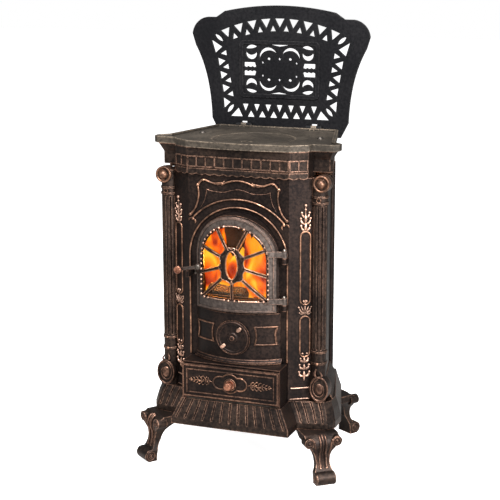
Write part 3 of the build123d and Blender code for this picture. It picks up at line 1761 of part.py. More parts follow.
side_brick = [
    (brick_out - brick_thick, grate_front_y + 8), (brick_out, grate_front_y + 8),
    (brick_out, grate_rear_y), (brick_out - brick_thick, grate_rear_y),
]
firebrick_right = extruded(side_brick, shelf_top_z, brick_top_z)
save(firebrick_right, "firebrick_right")
save(mirrored(firebrick_right), "firebrick_left")
save(wide_block(brick_out - brick_thick, grate_rear_y + gap, grate_rear_y + gap + brick_thick,
                shelf_top_z, brick_top_z), "firebrick_rear")

with BuildPart() as baffle_plate:
    add(wide_block(brick_out, grate_front_y + baffle_gas_way, baffle_rear_y,
                   brick_top_z, brick_top_z + baffle_thick))
save(baffle_plate.part, "baffle_plate")

guard_half = 90
guard_high = 34
guard_thick = 5
guard_front_y = grate_front_y - 14
guard_pitch = 16
guard_slots = 10
with BuildPart() as log_guard:
    add(wide_block(guard_half, guard_front_y, guard_front_y + guard_thick,
                   shelf_top_z, shelf_top_z + guard_high))
    with BuildSketch(upright(guard_front_y + guard_thick + 1)):
        with Locations((0, shelf_top_z + guard_high / 2)):
            with GridLocations(guard_pitch, 1, guard_slots, 1):
                Rectangle(6, 20)
    extrude(amount=guard_thick + 2, mode=Mode.SUBTRACT)
save(log_guard.part, "log_guard")
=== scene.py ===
import json
from math import asin, copysign, cos, hypot, pi, radians, sin
from random import Random

import bmesh
import bpy
from mathutils import Matrix, Vector
from mathutils.bvhtree import BVHTree


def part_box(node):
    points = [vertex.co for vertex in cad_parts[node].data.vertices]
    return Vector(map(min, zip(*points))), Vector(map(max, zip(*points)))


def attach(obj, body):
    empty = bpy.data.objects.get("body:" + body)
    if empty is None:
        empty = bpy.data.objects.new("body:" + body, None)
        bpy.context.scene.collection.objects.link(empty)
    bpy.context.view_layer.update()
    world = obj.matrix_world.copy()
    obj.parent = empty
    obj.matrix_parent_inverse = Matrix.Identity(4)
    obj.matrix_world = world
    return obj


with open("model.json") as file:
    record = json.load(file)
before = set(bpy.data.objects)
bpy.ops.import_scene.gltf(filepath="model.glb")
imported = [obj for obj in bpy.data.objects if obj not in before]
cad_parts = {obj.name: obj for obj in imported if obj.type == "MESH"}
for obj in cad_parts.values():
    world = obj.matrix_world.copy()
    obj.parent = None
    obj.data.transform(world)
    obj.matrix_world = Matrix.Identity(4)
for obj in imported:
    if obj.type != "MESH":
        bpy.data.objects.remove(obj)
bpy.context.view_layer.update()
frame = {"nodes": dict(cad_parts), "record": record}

# The looks of a small cast iron room stove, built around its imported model.
# X points right, Y points to the back, Z points up, and the floor is Z = 0.
# Materials, camera and lamps are in metres. Ornament and fire are drawn in
# millimetres, and make() turns them to metres.

MM = 0.001
scene = bpy.context.scene
nodes = frame["nodes"]


# Materials

AO_RAYS = 6
BEVEL_RAYS = 4


def opaque(colour):
    return (*colour, 1.0)


class Tree:
    """A node tree, and a short way to add nodes to it."""

    def __init__(self, owner):
        owner.use_nodes = True
        self.tree = owner.node_tree

    def add(self, kind, links=(), **settings):
        """A shader node with its settings, and its inputs linked or set by name or number."""
        node = self.tree.nodes.new("ShaderNode" + kind)
        for key, value in settings.items():
            setattr(node, key, value)
        for key, value in dict(links).items():
            socket = node.inputs[key]
            if isinstance(value, bpy.types.NodeSocket):
                self.tree.links.new(value, socket)
            else:
                socket.default_value = opaque(value) if socket.type == "RGBA" else value
        return node


class Shader(Tree):
    """A new material, and short ways to make its look."""

    def __init__(self, name):
        self.material = bpy.data.materials.new(name)
        super().__init__(self.material)
        self.tree.nodes.clear()
        self.output = self.add("OutputMaterial")
        self.place = self.add("TexCoord").outputs["Object"]

    def noise(self, scale, detail=4.0, rough=0.55):
        """Cloudy noise, with about scale clouds to the metre."""
        links = {"Vector": self.place, "Scale": scale, "Detail": detail, "Roughness": rough}
        return self.add("TexNoise", links).outputs["Fac"]

    def ramp(self, value, low, high, to_low=0.0, to_high=1.0):
        """Maps low..high smoothly to to_low..to_high."""
        links = {"Value": value, "From Min": low, "From Max": high, "To Min": to_low, "To Max": to_high}
        return self.add("MapRange", links, interpolation_type="SMOOTHSTEP").outputs["Result"]

    def math(self, operation, a, b, clamp=True):
        """A sum or product, kept between 0 and 1 unless told otherwise."""
        links = {0: a, 1: b}
        return self.add("Math", links, operation=operation, use_clamp=clamp).outputs["Value"]

    def times(self, a, b):
        return self.math("MULTIPLY", a, b)

    def mix(self, factor, a, b):
        """A colour between a and b. The node's colour inputs are 6 and 7, and its output is 2."""
        return self.add("Mix", {0: factor, 6: a, 7: b}, data_type="RGBA").outputs[2]

    def openness(self, distance, **settings):
        """1 where nothing lies within the distance, 0 where all is closed in."""
        links = {"Distance": distance}
        return self.add("AmbientOcclusion", links, samples=AO_RAYS, **settings).outputs["AO"]

    def convex(self, distance):
        """1 on convex edges and thin raised lines, 0 on broad faces."""
        return self.ramp(self.openness(distance, inside=True, only_local=True), 0.50, 0.92, 1.0, 0.0)

    def hollow(self, distance):
        """Painted shade: 1 in corners and recesses, where less light reaches, 0 in the open."""
        return self.ramp(self.openness(distance), 0.35, 0.9, 1.0, 0.0)

    def rounded(self, height, strength, distance, radius):
        """A bump of a height over edges that are softened to a radius."""
        edge = self.add("Bevel", {"Radius": radius}, samples=BEVEL_RAYS).outputs["Normal"]
        links = {"Height": height, "Strength": strength, "Distance": distance, "Normal": edge}
        return self.add("Bump", links).outputs["Normal"]

    def show(self, shader):
        """The material with this shader on its surface."""
        self.tree.links.new(shader, self.output.inputs["Surface"])
        return self.material

    def principled(self, **values):
        """The material with a Principled shader, its values linked or fixed by socket name."""
        links = {key.replace("_", " "): value for key, value in values.items()}
        return self.show(self.add("BsdfPrincipled", links).outputs["BSDF"])


def patina(name, dark, brown, worn, wear, metallic, reach=0.0026, rough=0.47, grain=0.35, gloss=0.5):
    """Antiqued cast iron: dark ground, brown rub, bright metal on edges up to reach wide, and painted shade
    that darkens corners and recesses.
    """
    s = Shader(name)
    broad = s.noise(9.0)
    fine = s.noise(150.0, detail=5.0, rough=0.65)
    cast = s.noise(620.0, detail=3.0, rough=0.6)
    rub = s.times(s.convex(reach), s.ramp(fine, 0.34, 0.60, 0.12, 1.0))
    rub = s.times(rub, s.ramp(broad, 0.34, 0.62, 0.30 * wear, wear))
    tint = s.ramp(s.times(broad, s.ramp(fine, 0.3, 0.7, 0.6, 1.3)), 0.25, 0.75)
    ground = s.mix(tint, dark, brown)
    # Painted shade: corners and recesses darken to a quarter of the dark ground.
    ground = s.mix(s.hollow(0.007), ground, [0.25 * c for c in dark])
    shine = s.ramp(rub, 0.0, 1.0, rough, rough - 0.14)
    shine = s.math("ADD", shine, s.ramp(fine, 0.3, 0.7, -0.05, 0.08))
    height = s.math("ADD", cast, s.times(fine, 0.6))
    normal = s.rounded(height, grain, distance=0.0006, radius=0.0011)
    return s.principled(Base_Color=s.mix(rub, ground, worn), Metallic=metallic, Roughness=shine,
                        Normal=normal, Specular_IOR_Level=gloss)


def plain_metal(name, low, high, rough):
    """Worked metal with a mottled tone and fine grain."""
    s = Shader(name)
    colour = s.mix(s.ramp(s.noise(22.0), 0.3, 0.7), low, high)
    shine = s.ramp(s.noise(90.0), 0.3, 0.7, rough - 0.08, rough + 0.1)
    grain = s.noise(540.0, rough=0.6)
    normal = s.rounded(grain, 0.2, distance=0.0004, radius=0.0008)
    return s.principled(Base_Color=colour, Metallic=1.0, Roughness=shine, Normal=normal)


def glass(name):
    """Heat proof window glass: clear, with a thin reflection that grows on slanted views."""
    s = Shader(name)
    clear = s.add("BsdfTransparent", {"Color": (0.98, 0.90, 0.80)})
    haze = s.ramp(s.noise(14.0), 0.3, 0.8, 0.04, 0.16)
    shine = s.add("BsdfGlossy", {"Color": (0.30, 0.28, 0.26), "Roughness": haze})
    slant = s.add("LayerWeight", {"Blend": 0.5}).outputs["Facing"]
    share = s.ramp(slant, 0.45, 1.0, 0.045, 0.7)
    both = s.add("MixShader", {0: share, 1: clear.outputs[0], 2: shine.outputs[0]})
    return s.show(both.outputs[0])


def rope(name):
    """Woven glass fibre, grey white."""
    s = Shader(name)
    links = {"Vector": s.place, "Scale": 260.0, "Distortion": 2.0, "Detail": 2.0}
    weave = s.add("TexWave", links, bands_direction="DIAGONAL").outputs["Fac"]
    colour = s.mix(weave, (0.20, 0.18, 0.15), (0.52, 0.49, 0.44))
    normal = s.rounded(weave, 0.8, distance=0.0008, radius=0.0006)
    return s.principled(Base_Color=colour, Roughness=s.ramp(weave, 0.0, 1.0, 0.95, 0.85), Normal=normal)


def brick(name):
    """Pressed firebrick, sooted and speckled."""
    s = Shader(name)
    speck = s.ramp(s.noise(420.0, detail=2.0, rough=0.7), 0.45, 0.6)
    soot = s.ramp(s.noise(7.0), 0.25, 0.6)
    colour = s.mix(speck, (0.16, 0.10, 0.06), (0.30, 0.20, 0.12))
    colour = s.mix(soot, colour, (0.02, 0.015, 0.012))
    normal = s.rounded(speck, 0.5, distance=0.001, radius=0.0015)
    return s.principled(Base_Color=colour, Roughness=s.ramp(soot, 0.0, 1.0, 0.95, 0.8), Normal=normal)


def rubbed(name, brown, copper, low=0.60, high=0.97, kept=0.35):
    """Raised ornament: copper where it stands free, dark where it meets the casting."""
    s = Shader(name)
    fine = s.noise(170.0, rough=0.6)
    broad = s.noise(14.0)
    patches = s.noise(46.0, detail=3.0, rough=0.6)
    rub = s.times(s.ramp(s.openness(0.005), low, high), s.ramp(fine, 0.30, 0.62, 0.30, 1.0))
    rub = s.times(rub, s.ramp(broad, 0.36, 0.60, 0.45, 1.0))
    rub = s.times(rub, s.ramp(patches, 0.40, 0.58, kept, 1.0))
    ground = s.mix(s.ramp(broad, 0.3, 0.7), IRON_DARK, brown)
    normal = s.rounded(fine, 0.25, distance=0.0005, radius=0.0006)
    return s.principled(Base_Color=s.mix(rub, ground, copper), Metallic=0.9,
                        Roughness=s.ramp(rub, 0.0, 1.0, 0.5, 0.34), Normal=normal)


FLAME_TONES = (
    (0.00, (0.06, 0.003, 0.001)),
    (0.20, (0.36, 0.024, 0.002)),
    (0.42, (0.90, 0.115, 0.004)),
    (0.64, (1.00, 0.250, 0.006)),
    (0.84, (1.00, 0.470, 0.014)),
    (1.00, (1.00, 0.800, 0.070)),
)


def fire(name):
    """Flame: from deep red through orange to yellow in rising streaks."""
    s = Shader(name)
    stretch = s.add("Mapping", {"Vector": s.place, "Scale": (15.0, 15.0, 9.0)}).outputs["Vector"]
    links = {"Vector": stretch, "Scale": 1.0, "Detail": 1.6, "Roughness": 0.45, "Distortion": 1.1}
    streak = s.add("TexNoise", links).outputs["Fac"]
    tones = s.add("ValToRGB", {"Fac": s.ramp(streak, 0.26, 0.70)})
    bar = tones.color_ramp
    while len(bar.elements) < len(FLAME_TONES):
        bar.elements.new(0.5)
    for element, (place, tone) in zip(bar.elements, FLAME_TONES):
        element.position = place
        element.color = opaque(tone)
    return s.show(s.add("Emission", {"Color": tones.outputs["Color"], "Strength": 1.25}).outputs[0])


def char(name, glow_at, strength):
    """Burnt wood or coal: cracked black crust with glowing gaps."""
    s = Shader(name)
    links = {"Vector": s.place, "Scale": 70.0, "Randomness": 0.9}
    cell = s.add("TexVoronoi", links, feature="DISTANCE_TO_EDGE").outputs["Distance"]
    crack = s.ramp(cell, 0.0, 0.12, 1.0, 0.0)
    hot = s.times(crack, s.ramp(s.noise(12.0), glow_at, glow_at + 0.2))
    ash = s.ramp(s.noise(60.0, rough=0.7), 0.55, 0.75)
    normal = s.rounded(s.math("SUBTRACT", 1.0, crack), 0.9, distance=0.002, radius=0.001)
    return s.principled(Base_Color=s.mix(ash, (0.012, 0.010, 0.009), (0.16, 0.14, 0.13)),
                        Roughness=s.ramp(ash, 0.0, 1.0, 0.7, 0.95), Normal=normal,
                        Emission_Color=s.mix(hot, (0.25, 0.01, 0.0), (1.0, 0.24, 0.02)),
                        Emission_Strength=s.math("MULTIPLY", hot, strength, clamp=False))


# Finishes: one for each material slot, and some of the scene's own

IRON_DARK = (0.0105, 0.0080, 0.0078)
IRON_BROWN = (0.034, 0.022, 0.018)
COPPER_WORN = (0.40, 0.215, 0.145)

finishes = {
    "body_iron": patina("body_iron", IRON_DARK, IRON_BROWN, COPPER_WORN, wear=0.8, metallic=0.9),
    # The door's iron is lighter than the body's: partly bare raised iron, partly a painted highlight of the
    # light on the bowed door.
    "door_iron": patina("door_iron", (0.052, 0.042, 0.038), (0.125, 0.100, 0.088), COPPER_WORN,
                        wear=0.6, metallic=0.85),
    "plate_iron": patina("plate_iron", (0.026, 0.021, 0.016), (0.072, 0.058, 0.044), (0.34, 0.26, 0.19),
                         wear=0.8, reach=0.0035, rough=0.56, grain=0.8, metallic=0.6),
    "lid_iron": patina("lid_iron", (0.0035, 0.0035, 0.0042), (0.0075, 0.0072, 0.0080), (0.045, 0.042, 0.042),
                       wear=0.8, reach=0.0020, rough=0.5, grain=0.25, metallic=0.2, gloss=0.10),
    "inner_iron": patina("inner_iron", (0.010, 0.008, 0.007), (0.035, 0.026, 0.021), (0.12, 0.08, 0.06),
                         wear=0.5, rough=0.75, grain=0.7, metallic=0.4),
    "copper": patina("copper", (0.24, 0.10, 0.065), (0.56, 0.27, 0.17), (0.86, 0.52, 0.38),
                     wear=0.8, reach=0.0022, rough=0.36, grain=0.12, metallic=1.0),
    "sheet_steel": plain_metal("sheet_steel", (0.045, 0.040, 0.037), (0.11, 0.10, 0.09), 0.5),
    "fastener_steel": plain_metal("fastener_steel", (0.07, 0.06, 0.055), (0.17, 0.15, 0.13), 0.42),
    "clip_steel": plain_metal("clip_steel", (0.16, 0.15, 0.14), (0.30, 0.29, 0.28), 0.35),
    "door_glass": glass("door_glass"),
    "gasket_rope": rope("gasket_rope"),
    "firebrick": brick("firebrick"),
}
body_iron = finishes["body_iron"]
worn_iron = patina("worn_iron", (0.0135, 0.0105, 0.0098), (0.048, 0.032, 0.025), (0.46, 0.26, 0.18),
                   wear=1.0, reach=0.0032, metallic=0.9)
grille_iron = patina("grille_iron", (0.010, 0.008, 0.007), (0.030, 0.020, 0.016), (0.16, 0.085, 0.06),
                     wear=0.5, metallic=0.85)
rubbed_relief = rubbed("rubbed_relief", (0.055, 0.033, 0.025), (0.56, 0.295, 0.185))
# A brighter copy of the rubbed copper, with more of it showing: rubbed wear plus a painted highlight for
# ornament that catches the light.
rub_and_painted_highlight_relief = rubbed("rub_and_painted_highlight_relief", (0.070, 0.040, 0.030), (0.80, 0.49, 0.36),
                       low=0.36, high=0.80, kept=0.7)
dull_relief = rubbed("dull_relief", (0.048, 0.028, 0.021), (0.36, 0.185, 0.115), kept=0.3)
brown_relief = rubbed("brown_relief", IRON_BROWN, (0.27, 0.145, 0.10))
flame_glow = fire("flame")
charred = char("charred_wood", glow_at=0.56, strength=4.0)
ember_glow = char("ember", glow_at=0.40, strength=7.0)

MORE_WORN = ("leg_front", "leg_rear", "column", "cornice", "base")
OWN_FINISH = {"door_grille": grille_iron, "valve_rivet": body_iron}
slot_of = {part["node"]: part["material_slot"] for part in frame["record"]["subparts"]}
for name, node in nodes.items():
    look = OWN_FINISH.get(name, finishes[slot_of[name]])
    if name.startswith(MORE_WORN):
        look = worn_iron
    node.data.materials.clear()
    node.data.materials.append(look)


# Camera at the photograph's viewing angle

CAMERA_AT = (1.1224, -3.1365, 1.3163)
YAW = radians(20.02)
PITCH = radians(13.24)
ROLL = radians(-0.09)
FOCAL_PIXELS = 1342.9
FRAME_PIXELS = 500
SENSOR = 36.0

lens = bpy.data.cameras.new("camera")
lens.sensor_width = SENSOR
lens.lens = SENSOR * FOCAL_PIXELS / FRAME_PIXELS
camera = bpy.data.objects.new("camera", lens)
scene.collection.objects.link(camera)
right = Vector((cos(YAW), sin(YAW), 0))
up = Vector((-sin(YAW) * sin(PITCH), cos(YAW) * sin(PITCH), cos(PITCH)))
turn = Matrix((right, up, right.cross(up))).transposed().to_4x4()
camera.matrix_world = Matrix.Translation(CAMERA_AT) @ turn @ Matrix.Rotation(ROLL, 4, "Z")
scene.camera = camera


# Floor and world

# Both are white to the camera and dimmer to all other rays, so that their light
# doesn't wash out the dark iron.
FLOOR_HALF = 14.0
WORLD_SEEN = 1.0
WORLD_IN_GLOSS = 0.20
WORLD_ELSEWHERE = 0.36


def pale_floor():
    """A plain pale floor, far larger than the view."""
    mesh = bpy.data.meshes.new("floor")
    corners = [(x * FLOOR_HALF, y * FLOOR_HALF, 0.0) for x, y in ((-1, -1), (1, -1), (1, 1), (-1, 1))]
    mesh.from_pydata(corners, [], [(0, 1, 2, 3)])
    floor = bpy.data.objects.new("floor", mesh)
    scene.collection.objects.link(floor)
    s = Shader("pale_floor")
    seen = s.add("LightPath").outputs["Is Camera Ray"]
    mesh.materials.append(s.principled(
        Base_Color=s.mix(seen, (0.42, 0.40, 0.38), (0.93, 0.93, 0.93)), Roughness=0.8,
        Emission_Color=s.mix(seen, (0.02, 0.02, 0.02), (0.9, 0.9, 0.9)), Emission_Strength=1.0))


def studio_world():
    """Even light from all round."""
    world = bpy.data.worlds.new("studio")
    air = Tree(world)
    path = air.add("LightPath").outputs
    links = {"Value": path["Is Glossy Ray"], "To Min": WORLD_ELSEWHERE, "To Max": WORLD_IN_GLOSS}
    unseen = air.add("MapRange", links).outputs["Result"]
    links = {"Factor": path["Is Camera Ray"], "A": unseen, "B": WORLD_SEEN}
    level = air.add("Mix", links).outputs["Result"]
    background = air.tree.nodes["Background"].inputs
    background["Color"].default_value = opaque((1.0, 1.0, 1.0))
    air.tree.links.new(level, background["Strength"])
    scene.world = world
    scene.view_settings.view_transform = "Standard"


# Lamps

LAMP_AIM = Vector((0.0, 0.0, 0.6))
FIRE_COLOUR = (1.0, 0.36, 0.07)
# Soft square lamps round the stove: place, size, watts
LAMPS = {
    "key": ((-1.9, -2.4, 2.3), 1.3, 38),
    "fill": ((2.6, -1.8, 1.5), 1.0, 145),
    "top": ((0.5, -1.5, 3.0), 1.2, 255),
}
# The fire's own glow, behind the window and at its left side: place, size, watts
GLOWS = {
    "fire_glow": ((0.03, -0.105, 0.535), 0.05, 1.6),
    "reveal_glow": ((-0.085, -0.088, 0.520), 0.02, 1.8),
}


def lamp(name, kind, place, watts):
    """A white lamp at a place."""
    light = bpy.data.lights.new(name, kind)
    light.energy = watts
    made = bpy.data.objects.new(name, light)
    made.location = place
    scene.collection.objects.link(made)
    return made


pale_floor()
studio_world()
for name, (place, size, watts) in LAMPS.items():
    made = lamp(name, "AREA", place, watts)
    made.data.size = size
    made.rotation_euler = (LAMP_AIM - Vector(place)).to_track_quat("-Z", "Y").to_euler()
for name, (place, size, watts) in GLOWS.items():
    made = lamp(name, "POINT", place, watts)
    made.data.shadow_soft_size = size
    made.data.color = FIRE_COLOUR


# Faces that ornament is laid on, from here on in millimetres

BOW_Y = -4.0
FRONT_Y = -139.0
FLANK_START = (130.0, FRONT_Y)
FLANK_ALONG = (0.859, 0.512)
SIDES = {"right": 1, "left": -1}


class Flat:
    """An upright face: u runs along it from its start, z is the height, h stands off it."""

    def __init__(self, start, along=(1, 0), side=1):
        self.start = start
        self.along = along
        self.side = side

    def at(self, u, z, h):
        x = self.start[0] + u * self.along[0] + h * self.along[1]
        y = self.start[1] + u * self.along[1] - h * self.along[0]
        return Vector((self.side * x, y, z))


class Bowed:
    """A face bowed about an upright axis at (0, BOW_Y): u is the distance from the middle plane."""

    def __init__(self, radius):
        self.radius = radius

    def at(self, u, z, h):
        turn = asin(u / self.radius)
        reach = self.radius + h
        return Vector((reach * sin(turn), BOW_Y - reach * cos(turn), z))


front = Flat((0, FRONT_Y))
flanks = {word: Flat(FLANK_START, FLANK_ALONG, side) for word, side in SIDES.items()}


# Lines to draw with, as lists of 2-D points

def smooth(points, steps, closed=False):
    """A curve through points, as closer points."""
    count = len(points)
    spans = count if closed else count - 1
    line = []
    for k in range(spans):
        if closed:
            a, b, c, d = (points[(k + j) % count] for j in (-1, 0, 1, 2))
        else:
            b, c = points[k], points[k + 1]
            a = points[k - 1] if k else (2 * b[0] - c[0], 2 * b[1] - c[1])
            d = points[k + 2] if k + 2 < count else (2 * c[0] - b[0], 2 * c[1] - b[1])
        for j in range(steps):
            t = j / steps
            line.append(tuple(
                0.5 * (2 * b[i] + (c[i] - a[i]) * t + (2 * a[i] - 5 * b[i] + 4 * c[i] - d[i]) * t * t
                       + (3 * b[i] - a[i] - 3 * c[i] + d[i]) * t ** 3) for i in (0, 1)))
    if not closed:
        line.append(points[-1])
    return line


def straight(a, b, count):
    """Points from a to just before b, in equal steps."""
    return [(a[0] + (b[0] - a[0]) * k / count, a[1] + (b[1] - a[1]) * k / count) for k in range(count)]


def arc(cx, cz, rx, rz, first, last, steps):
    """Points on an ellipse, from one angle to another in degrees."""
    turns = [radians(first + (last - first) * k / steps) for k in range(steps + 1)]
    return [(cx + rx * cos(t), cz + rz * sin(t)) for t in turns]


def loop(cx, cz, rx, rz, steps):
    """Points once round an ellipse."""
    return arc(cx, cz, rx, rz, 0, 360 - 360 / steps, steps - 1)


def spiral(centre, outer, inner, first, turned, steps):
    """Points that wind in from one ellipse to another, from an angle, in degrees."""
    line = []
    for k in range(steps + 1):
        t = k / steps
        a = radians(first + turned * t)
        line.append((centre[0] + (outer[0] + (inner[0] - outer[0]) * t) * cos(a),
                     centre[1] + (outer[1] + (inner[1] - outer[1]) * t) * sin(a)))
    return line


def slot_line(middle, half, low, high, steps=12):
    """Points round an upright slot with round ends."""
    bottom, top = low + half, high - half
    rise = straight((middle + half, bottom), (middle + half, top), steps)[1:]
    fall = straight((middle - half, top), (middle - half, bottom), steps)[1:]
    return (arc(middle, bottom, half, half, 180, 360, steps) + rise
            + arc(middle, top, half, half, 0, 180, steps) + fall)


def mirrored(points, side):
    """Points on the right, or the same on the left for side -1."""
    return [(side * u, z) for u, z in points]


def ways(u):
    """Right and left, or only one where u is on the middle line."""
    return (1, -1) if u else (1,)


def circle(count, phase=0.0):
    """The cosine and sine of equal steps once round."""
    return [(cos(2 * pi * k / count + phase), sin(2 * pi * k / count + phase)) for k in range(count)]


# Raised ornament

ROUND_END = ((0.95, 0.3), (0.7, 0.72))
LEAF_SECTION = ((-1, 0), (-0.62, 0.82), (-0.18, 1.0), (0, 0.82), (0.18, 1.0), (0.62, 0.82), (1, 0))
LEAF_ROOT = 0.8
BEAD_ROWS = 6
BEAD_SIDES = 10


class Relief:
    """Gathers raised ornament as closed shapes in one mesh."""

    def __init__(self):
        self.mesh = bmesh.new()

    def skin(self, rings, closed=False):
        """Joins rings of points to one closed surface, with the best match where the last meets the first."""
        made = [[self.mesh.verts.new(p) for p in ring] for ring in rings]
        sides = len(made[0])
        pairs = list(zip(made, made[1:]))
        if closed:
            first, last = made[0], made[-1]
            shift = min(range(sides), key=lambda s: sum(
                (first[(k + s) % sides].co - last[k].co).length for k in range(sides)))
            pairs.append((last, [first[(k + shift) % sides] for k in range(sides)]))
        for low, high in pairs:
            for k in range(sides):
                j = (k + 1) % sides
                self.mesh.faces.new((low[k], low[j], high[j], high[k]))
        if not closed:
            self.mesh.faces.new(made[0])
            self.mesh.faces.new(made[-1])

    def sweep(self, line, radius, closed=False, sides=8, thin=None):
        """A round bar with rounded ends along 3-D points, thinning to the radius thin if told."""
        count = len(line)
        rings = []
        side = None
        for k, point in enumerate(line):
            before = line[k - 1] if (k or closed) else point
            after = line[(k + 1) % count] if (k < count - 1 or closed) else point
            along = (after - before).normalized()
            side = along.orthogonal() if side is None else side - along * side.dot(along)
            side.normalize()
            across = along.cross(side)
            r = radius if thin is None else radius + (thin - radius) * k / (count - 1)
            stops = [(0.0, 1.0)]
            if not closed and k == 0:
                stops = [(-ahead, share) for ahead, share in ROUND_END] + stops
            elif not closed and k == count - 1:
                stops += reversed(ROUND_END)
            for ahead, share in stops:
                middle = point + along * (ahead * r)
                rings.append([middle + (side * c + across * s) * (r * share) for c, s in circle(sides)])
        self.skin(rings, closed)

    def line(self, face, points, radius, h, closed=False, thin=None):
        """A bar along points of a face, its middle h off the face."""
        self.sweep([face.at(u, z, h) for u, z in points], radius, closed, thin=thin)

    def ball(self, centre, radius):
        """A turned bead."""
        rings = []
        for k in range(1, BEAD_ROWS):
            a = pi * k / BEAD_ROWS
            rings.append([centre + Vector((sin(a) * c, sin(a) * s, cos(a))) * radius
                          for c, s in circle(BEAD_SIDES)])
        self.skin(rings)

    def bead(self, face, u, z, radius, h):
        """A bead on a face, its middle h off the face."""
        self.ball(face.at(u, z, h), radius)

    def leaf(self, face, spine, width, height):
        """A pointed leaf with a crowned back and a sunk vein along its middle."""
        points = smooth(spine, 4) if len(spine) > 2 else straight(*spine, 6) + [spine[1]]
        count = len(points)
        rings = []
        for k, (u, z) in enumerate(points):
            a = points[max(k - 1, 0)]
            b = points[min(k + 1, count - 1)]
            span = hypot(b[0] - a[0], b[1] - a[1])
            across = (-(b[1] - a[1]) / span, (b[0] - a[0]) / span)
            t = 0.06 + 0.9 * k / (count - 1)
            swell = sin(pi * t ** 0.8) ** 0.8
            w, top = width * swell, height * swell
            ring = [face.at(u + across[0] * w * q, z + across[1] * w * q, top * p) for q, p in LEAF_SECTION]
            ring.append(face.at(u, z, -LEAF_ROOT))
            rings.append(ring)
        self.skin(rings)


def make(draw, look, *word, body="stove", slot="body_iron"):
    """One piece on a body, named after the function that draws it and the word that it is given."""
    name = "_".join([draw.__name__, *word])
    r = Relief()
    draw(r, *word)
    bmesh.ops.scale(r.mesh, vec=(MM, MM, MM), verts=r.mesh.verts)
    bmesh.ops.recalc_face_normals(r.mesh, faces=r.mesh.faces)
    for face in r.mesh.faces:
        face.smooth = True
    data = bpy.data.meshes.new(name)
    r.mesh.to_mesh(data)
    r.mesh.free()
    data.materials.append(look)
    made = bpy.data.objects.new(name, data)
    scene.collection.objects.link(made)
    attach(made, body)


# Border, hood and scrolled frame over the door

BAR = 2.1
BORDER_HALF = 127.5
BORDER_SPRING = 541.5
BORDER_LOW = 289.0
BORDER_STEP = 12
BORDER_STEPS = 21
BORDER_OFF = 2.25
# Beads are given as u, z, radius and height off the face
HOOD_BEADS = ((118.0, 634.0, 3.9, 1.6), (125.5, 644.5, 4.4, 1.6))
HOOD_R = 161.0
HOOD_Z = 528.0
HOOD_ENDS = (137.4, 42.6)
FRAME_OFF = 2.2
FRAME_RISE = ((124.5, 645), (110.5, 664), (102.5, 693), (104.5, 720))
FRAME_CREST = ((104.5, 720), (89.5, 733), (65, 726), (41, 728))
FRAME_BEADS = ((104.8, 719.5, 4.4, 1.6), (90.0, 732.5, 3.4, 1.8), (41.0, 727.0, 3.4, 1.8))
FRAME_TOP_R = 81.9
FRAME_TOP_Z = 653.1
INNER_TOP = ((82, 710), (68, 706), (39, 704.5), (18, 710))
INNER_TOP_MIDDLE = (0, 713)
INNER_SIDE = ((82, 710), (84, 696), (90, 678), (98, 664))


def door_border(r):
    """The bar that runs up both sides of the door and over it."""
    rise = [(-BORDER_HALF, BORDER_LOW + BORDER_STEP * k) for k in range(BORDER_STEPS)]
    fall = [(BORDER_HALF, BORDER_SPRING - BORDER_STEP * (k + 1)) for k in range(BORDER_STEPS)]
    over = arc(0, BORDER_SPRING, BORDER_HALF, BORDER_HALF, 180, 0, 48)
    r.line(front, rise + over + fall, BAR, BORDER_OFF)


def hood_moulding(r):
    """The wider arch above, with beads and small leaves at its ends."""
    r.line(front, arc(0, HOOD_Z, HOOD_R, HOOD_R, *HOOD_ENDS, 36), BAR, BORDER_OFF)
    for side in SIDES.values():
        for u, *rest in HOOD_BEADS:
            r.bead(front, side * u, *rest)
        r.leaf(front, mirrored([(117, 634), (112, 628), (114, 621)], side), 2.4, 2.2)
        r.leaf(front, mirrored([(121, 637), (128, 634), (131, 628)], side), 2.2, 2.0)


def scroll_frame(r):
    """The scrolled frame above the hood."""
    for side in SIDES.values():
        for part in (FRAME_RISE, FRAME_CREST):
            r.line(front, smooth(mirrored(part, side), 8), BAR, FRAME_OFF)
        for u, *rest in FRAME_BEADS:
            r.bead(front, side * u, *rest)
        r.leaf(front, mirrored([(44, 727), (38, 729), (35, 733)], side), 2.4, 2.8)
    r.line(front, arc(0, FRAME_TOP_Z, FRAME_TOP_R, FRAME_TOP_R, 120, 60, 16), BAR, FRAME_OFF)


def scroll_frame_inner_line(r):
    """The thin line inside the scrolled frame."""
    top = mirrored(INNER_TOP, -1) + [INNER_TOP_MIDDLE] + list(reversed(INNER_TOP))
    r.line(front, smooth(top, 6), 0.8, 0.1)
    for side in SIDES.values():
        r.line(front, smooth(mirrored(INNER_SIDE, side), 6), 0.9, 0.3, thin=0.5)


# Flanks: finial, two loops, palmette and hanging leaves

FLANK_MID = 41.0
LEAF_MID = FLANK_MID - 1
LOOP_HALF = 12.4
LOOPS = ((301.6, 405.4), (434.6, 617.4))
# Upright leaves, two of the finial and three of the palmette: root, tip, width, height
MIDDLE_LEAVES = ((640, 662, 4.2, 4.0), (620, 640, 4.0, 3.8), (446, 434, 3.6, 3.4), (415, 431, 2.8, 3.2),
                 (417, 407.5, 2.6, 2.6))
# Side leaves of the finial and of the hanging spray: root height, reach, tip height
FINIAL_LEAVES = ((652, 9.5, 664), (636, 12.0, 650), (620, 11.0, 632))
HANGING_LEAVES = ((288, 9.5, 297), (270, 12.0, 281), (251, 13.0, 263))
# Side leaves of the palmette: three points, width, height, and the bead on the tip
PALMETTE_LEAVES = (
    (((0, 414), (9, 417), (16, 429)), 3.0, 3.4, (15.6, 428.5, 2.6, 1.4)),
    (((0, 416), (5, 421), (9, 430)), 2.3, 2.8, None),
    (((0, 416), (8, 411), (14, 414)), 2.2, 2.6, (13.8, 414.5, 2.0, 1.2)),
)


def flank_loops(r, word):
    """Two long upright loops."""
    for low, high in LOOPS:
        r.line(flanks[word], slot_line(FLANK_MID, LOOP_HALF, low, high), 2.15, 0.65, closed=True)


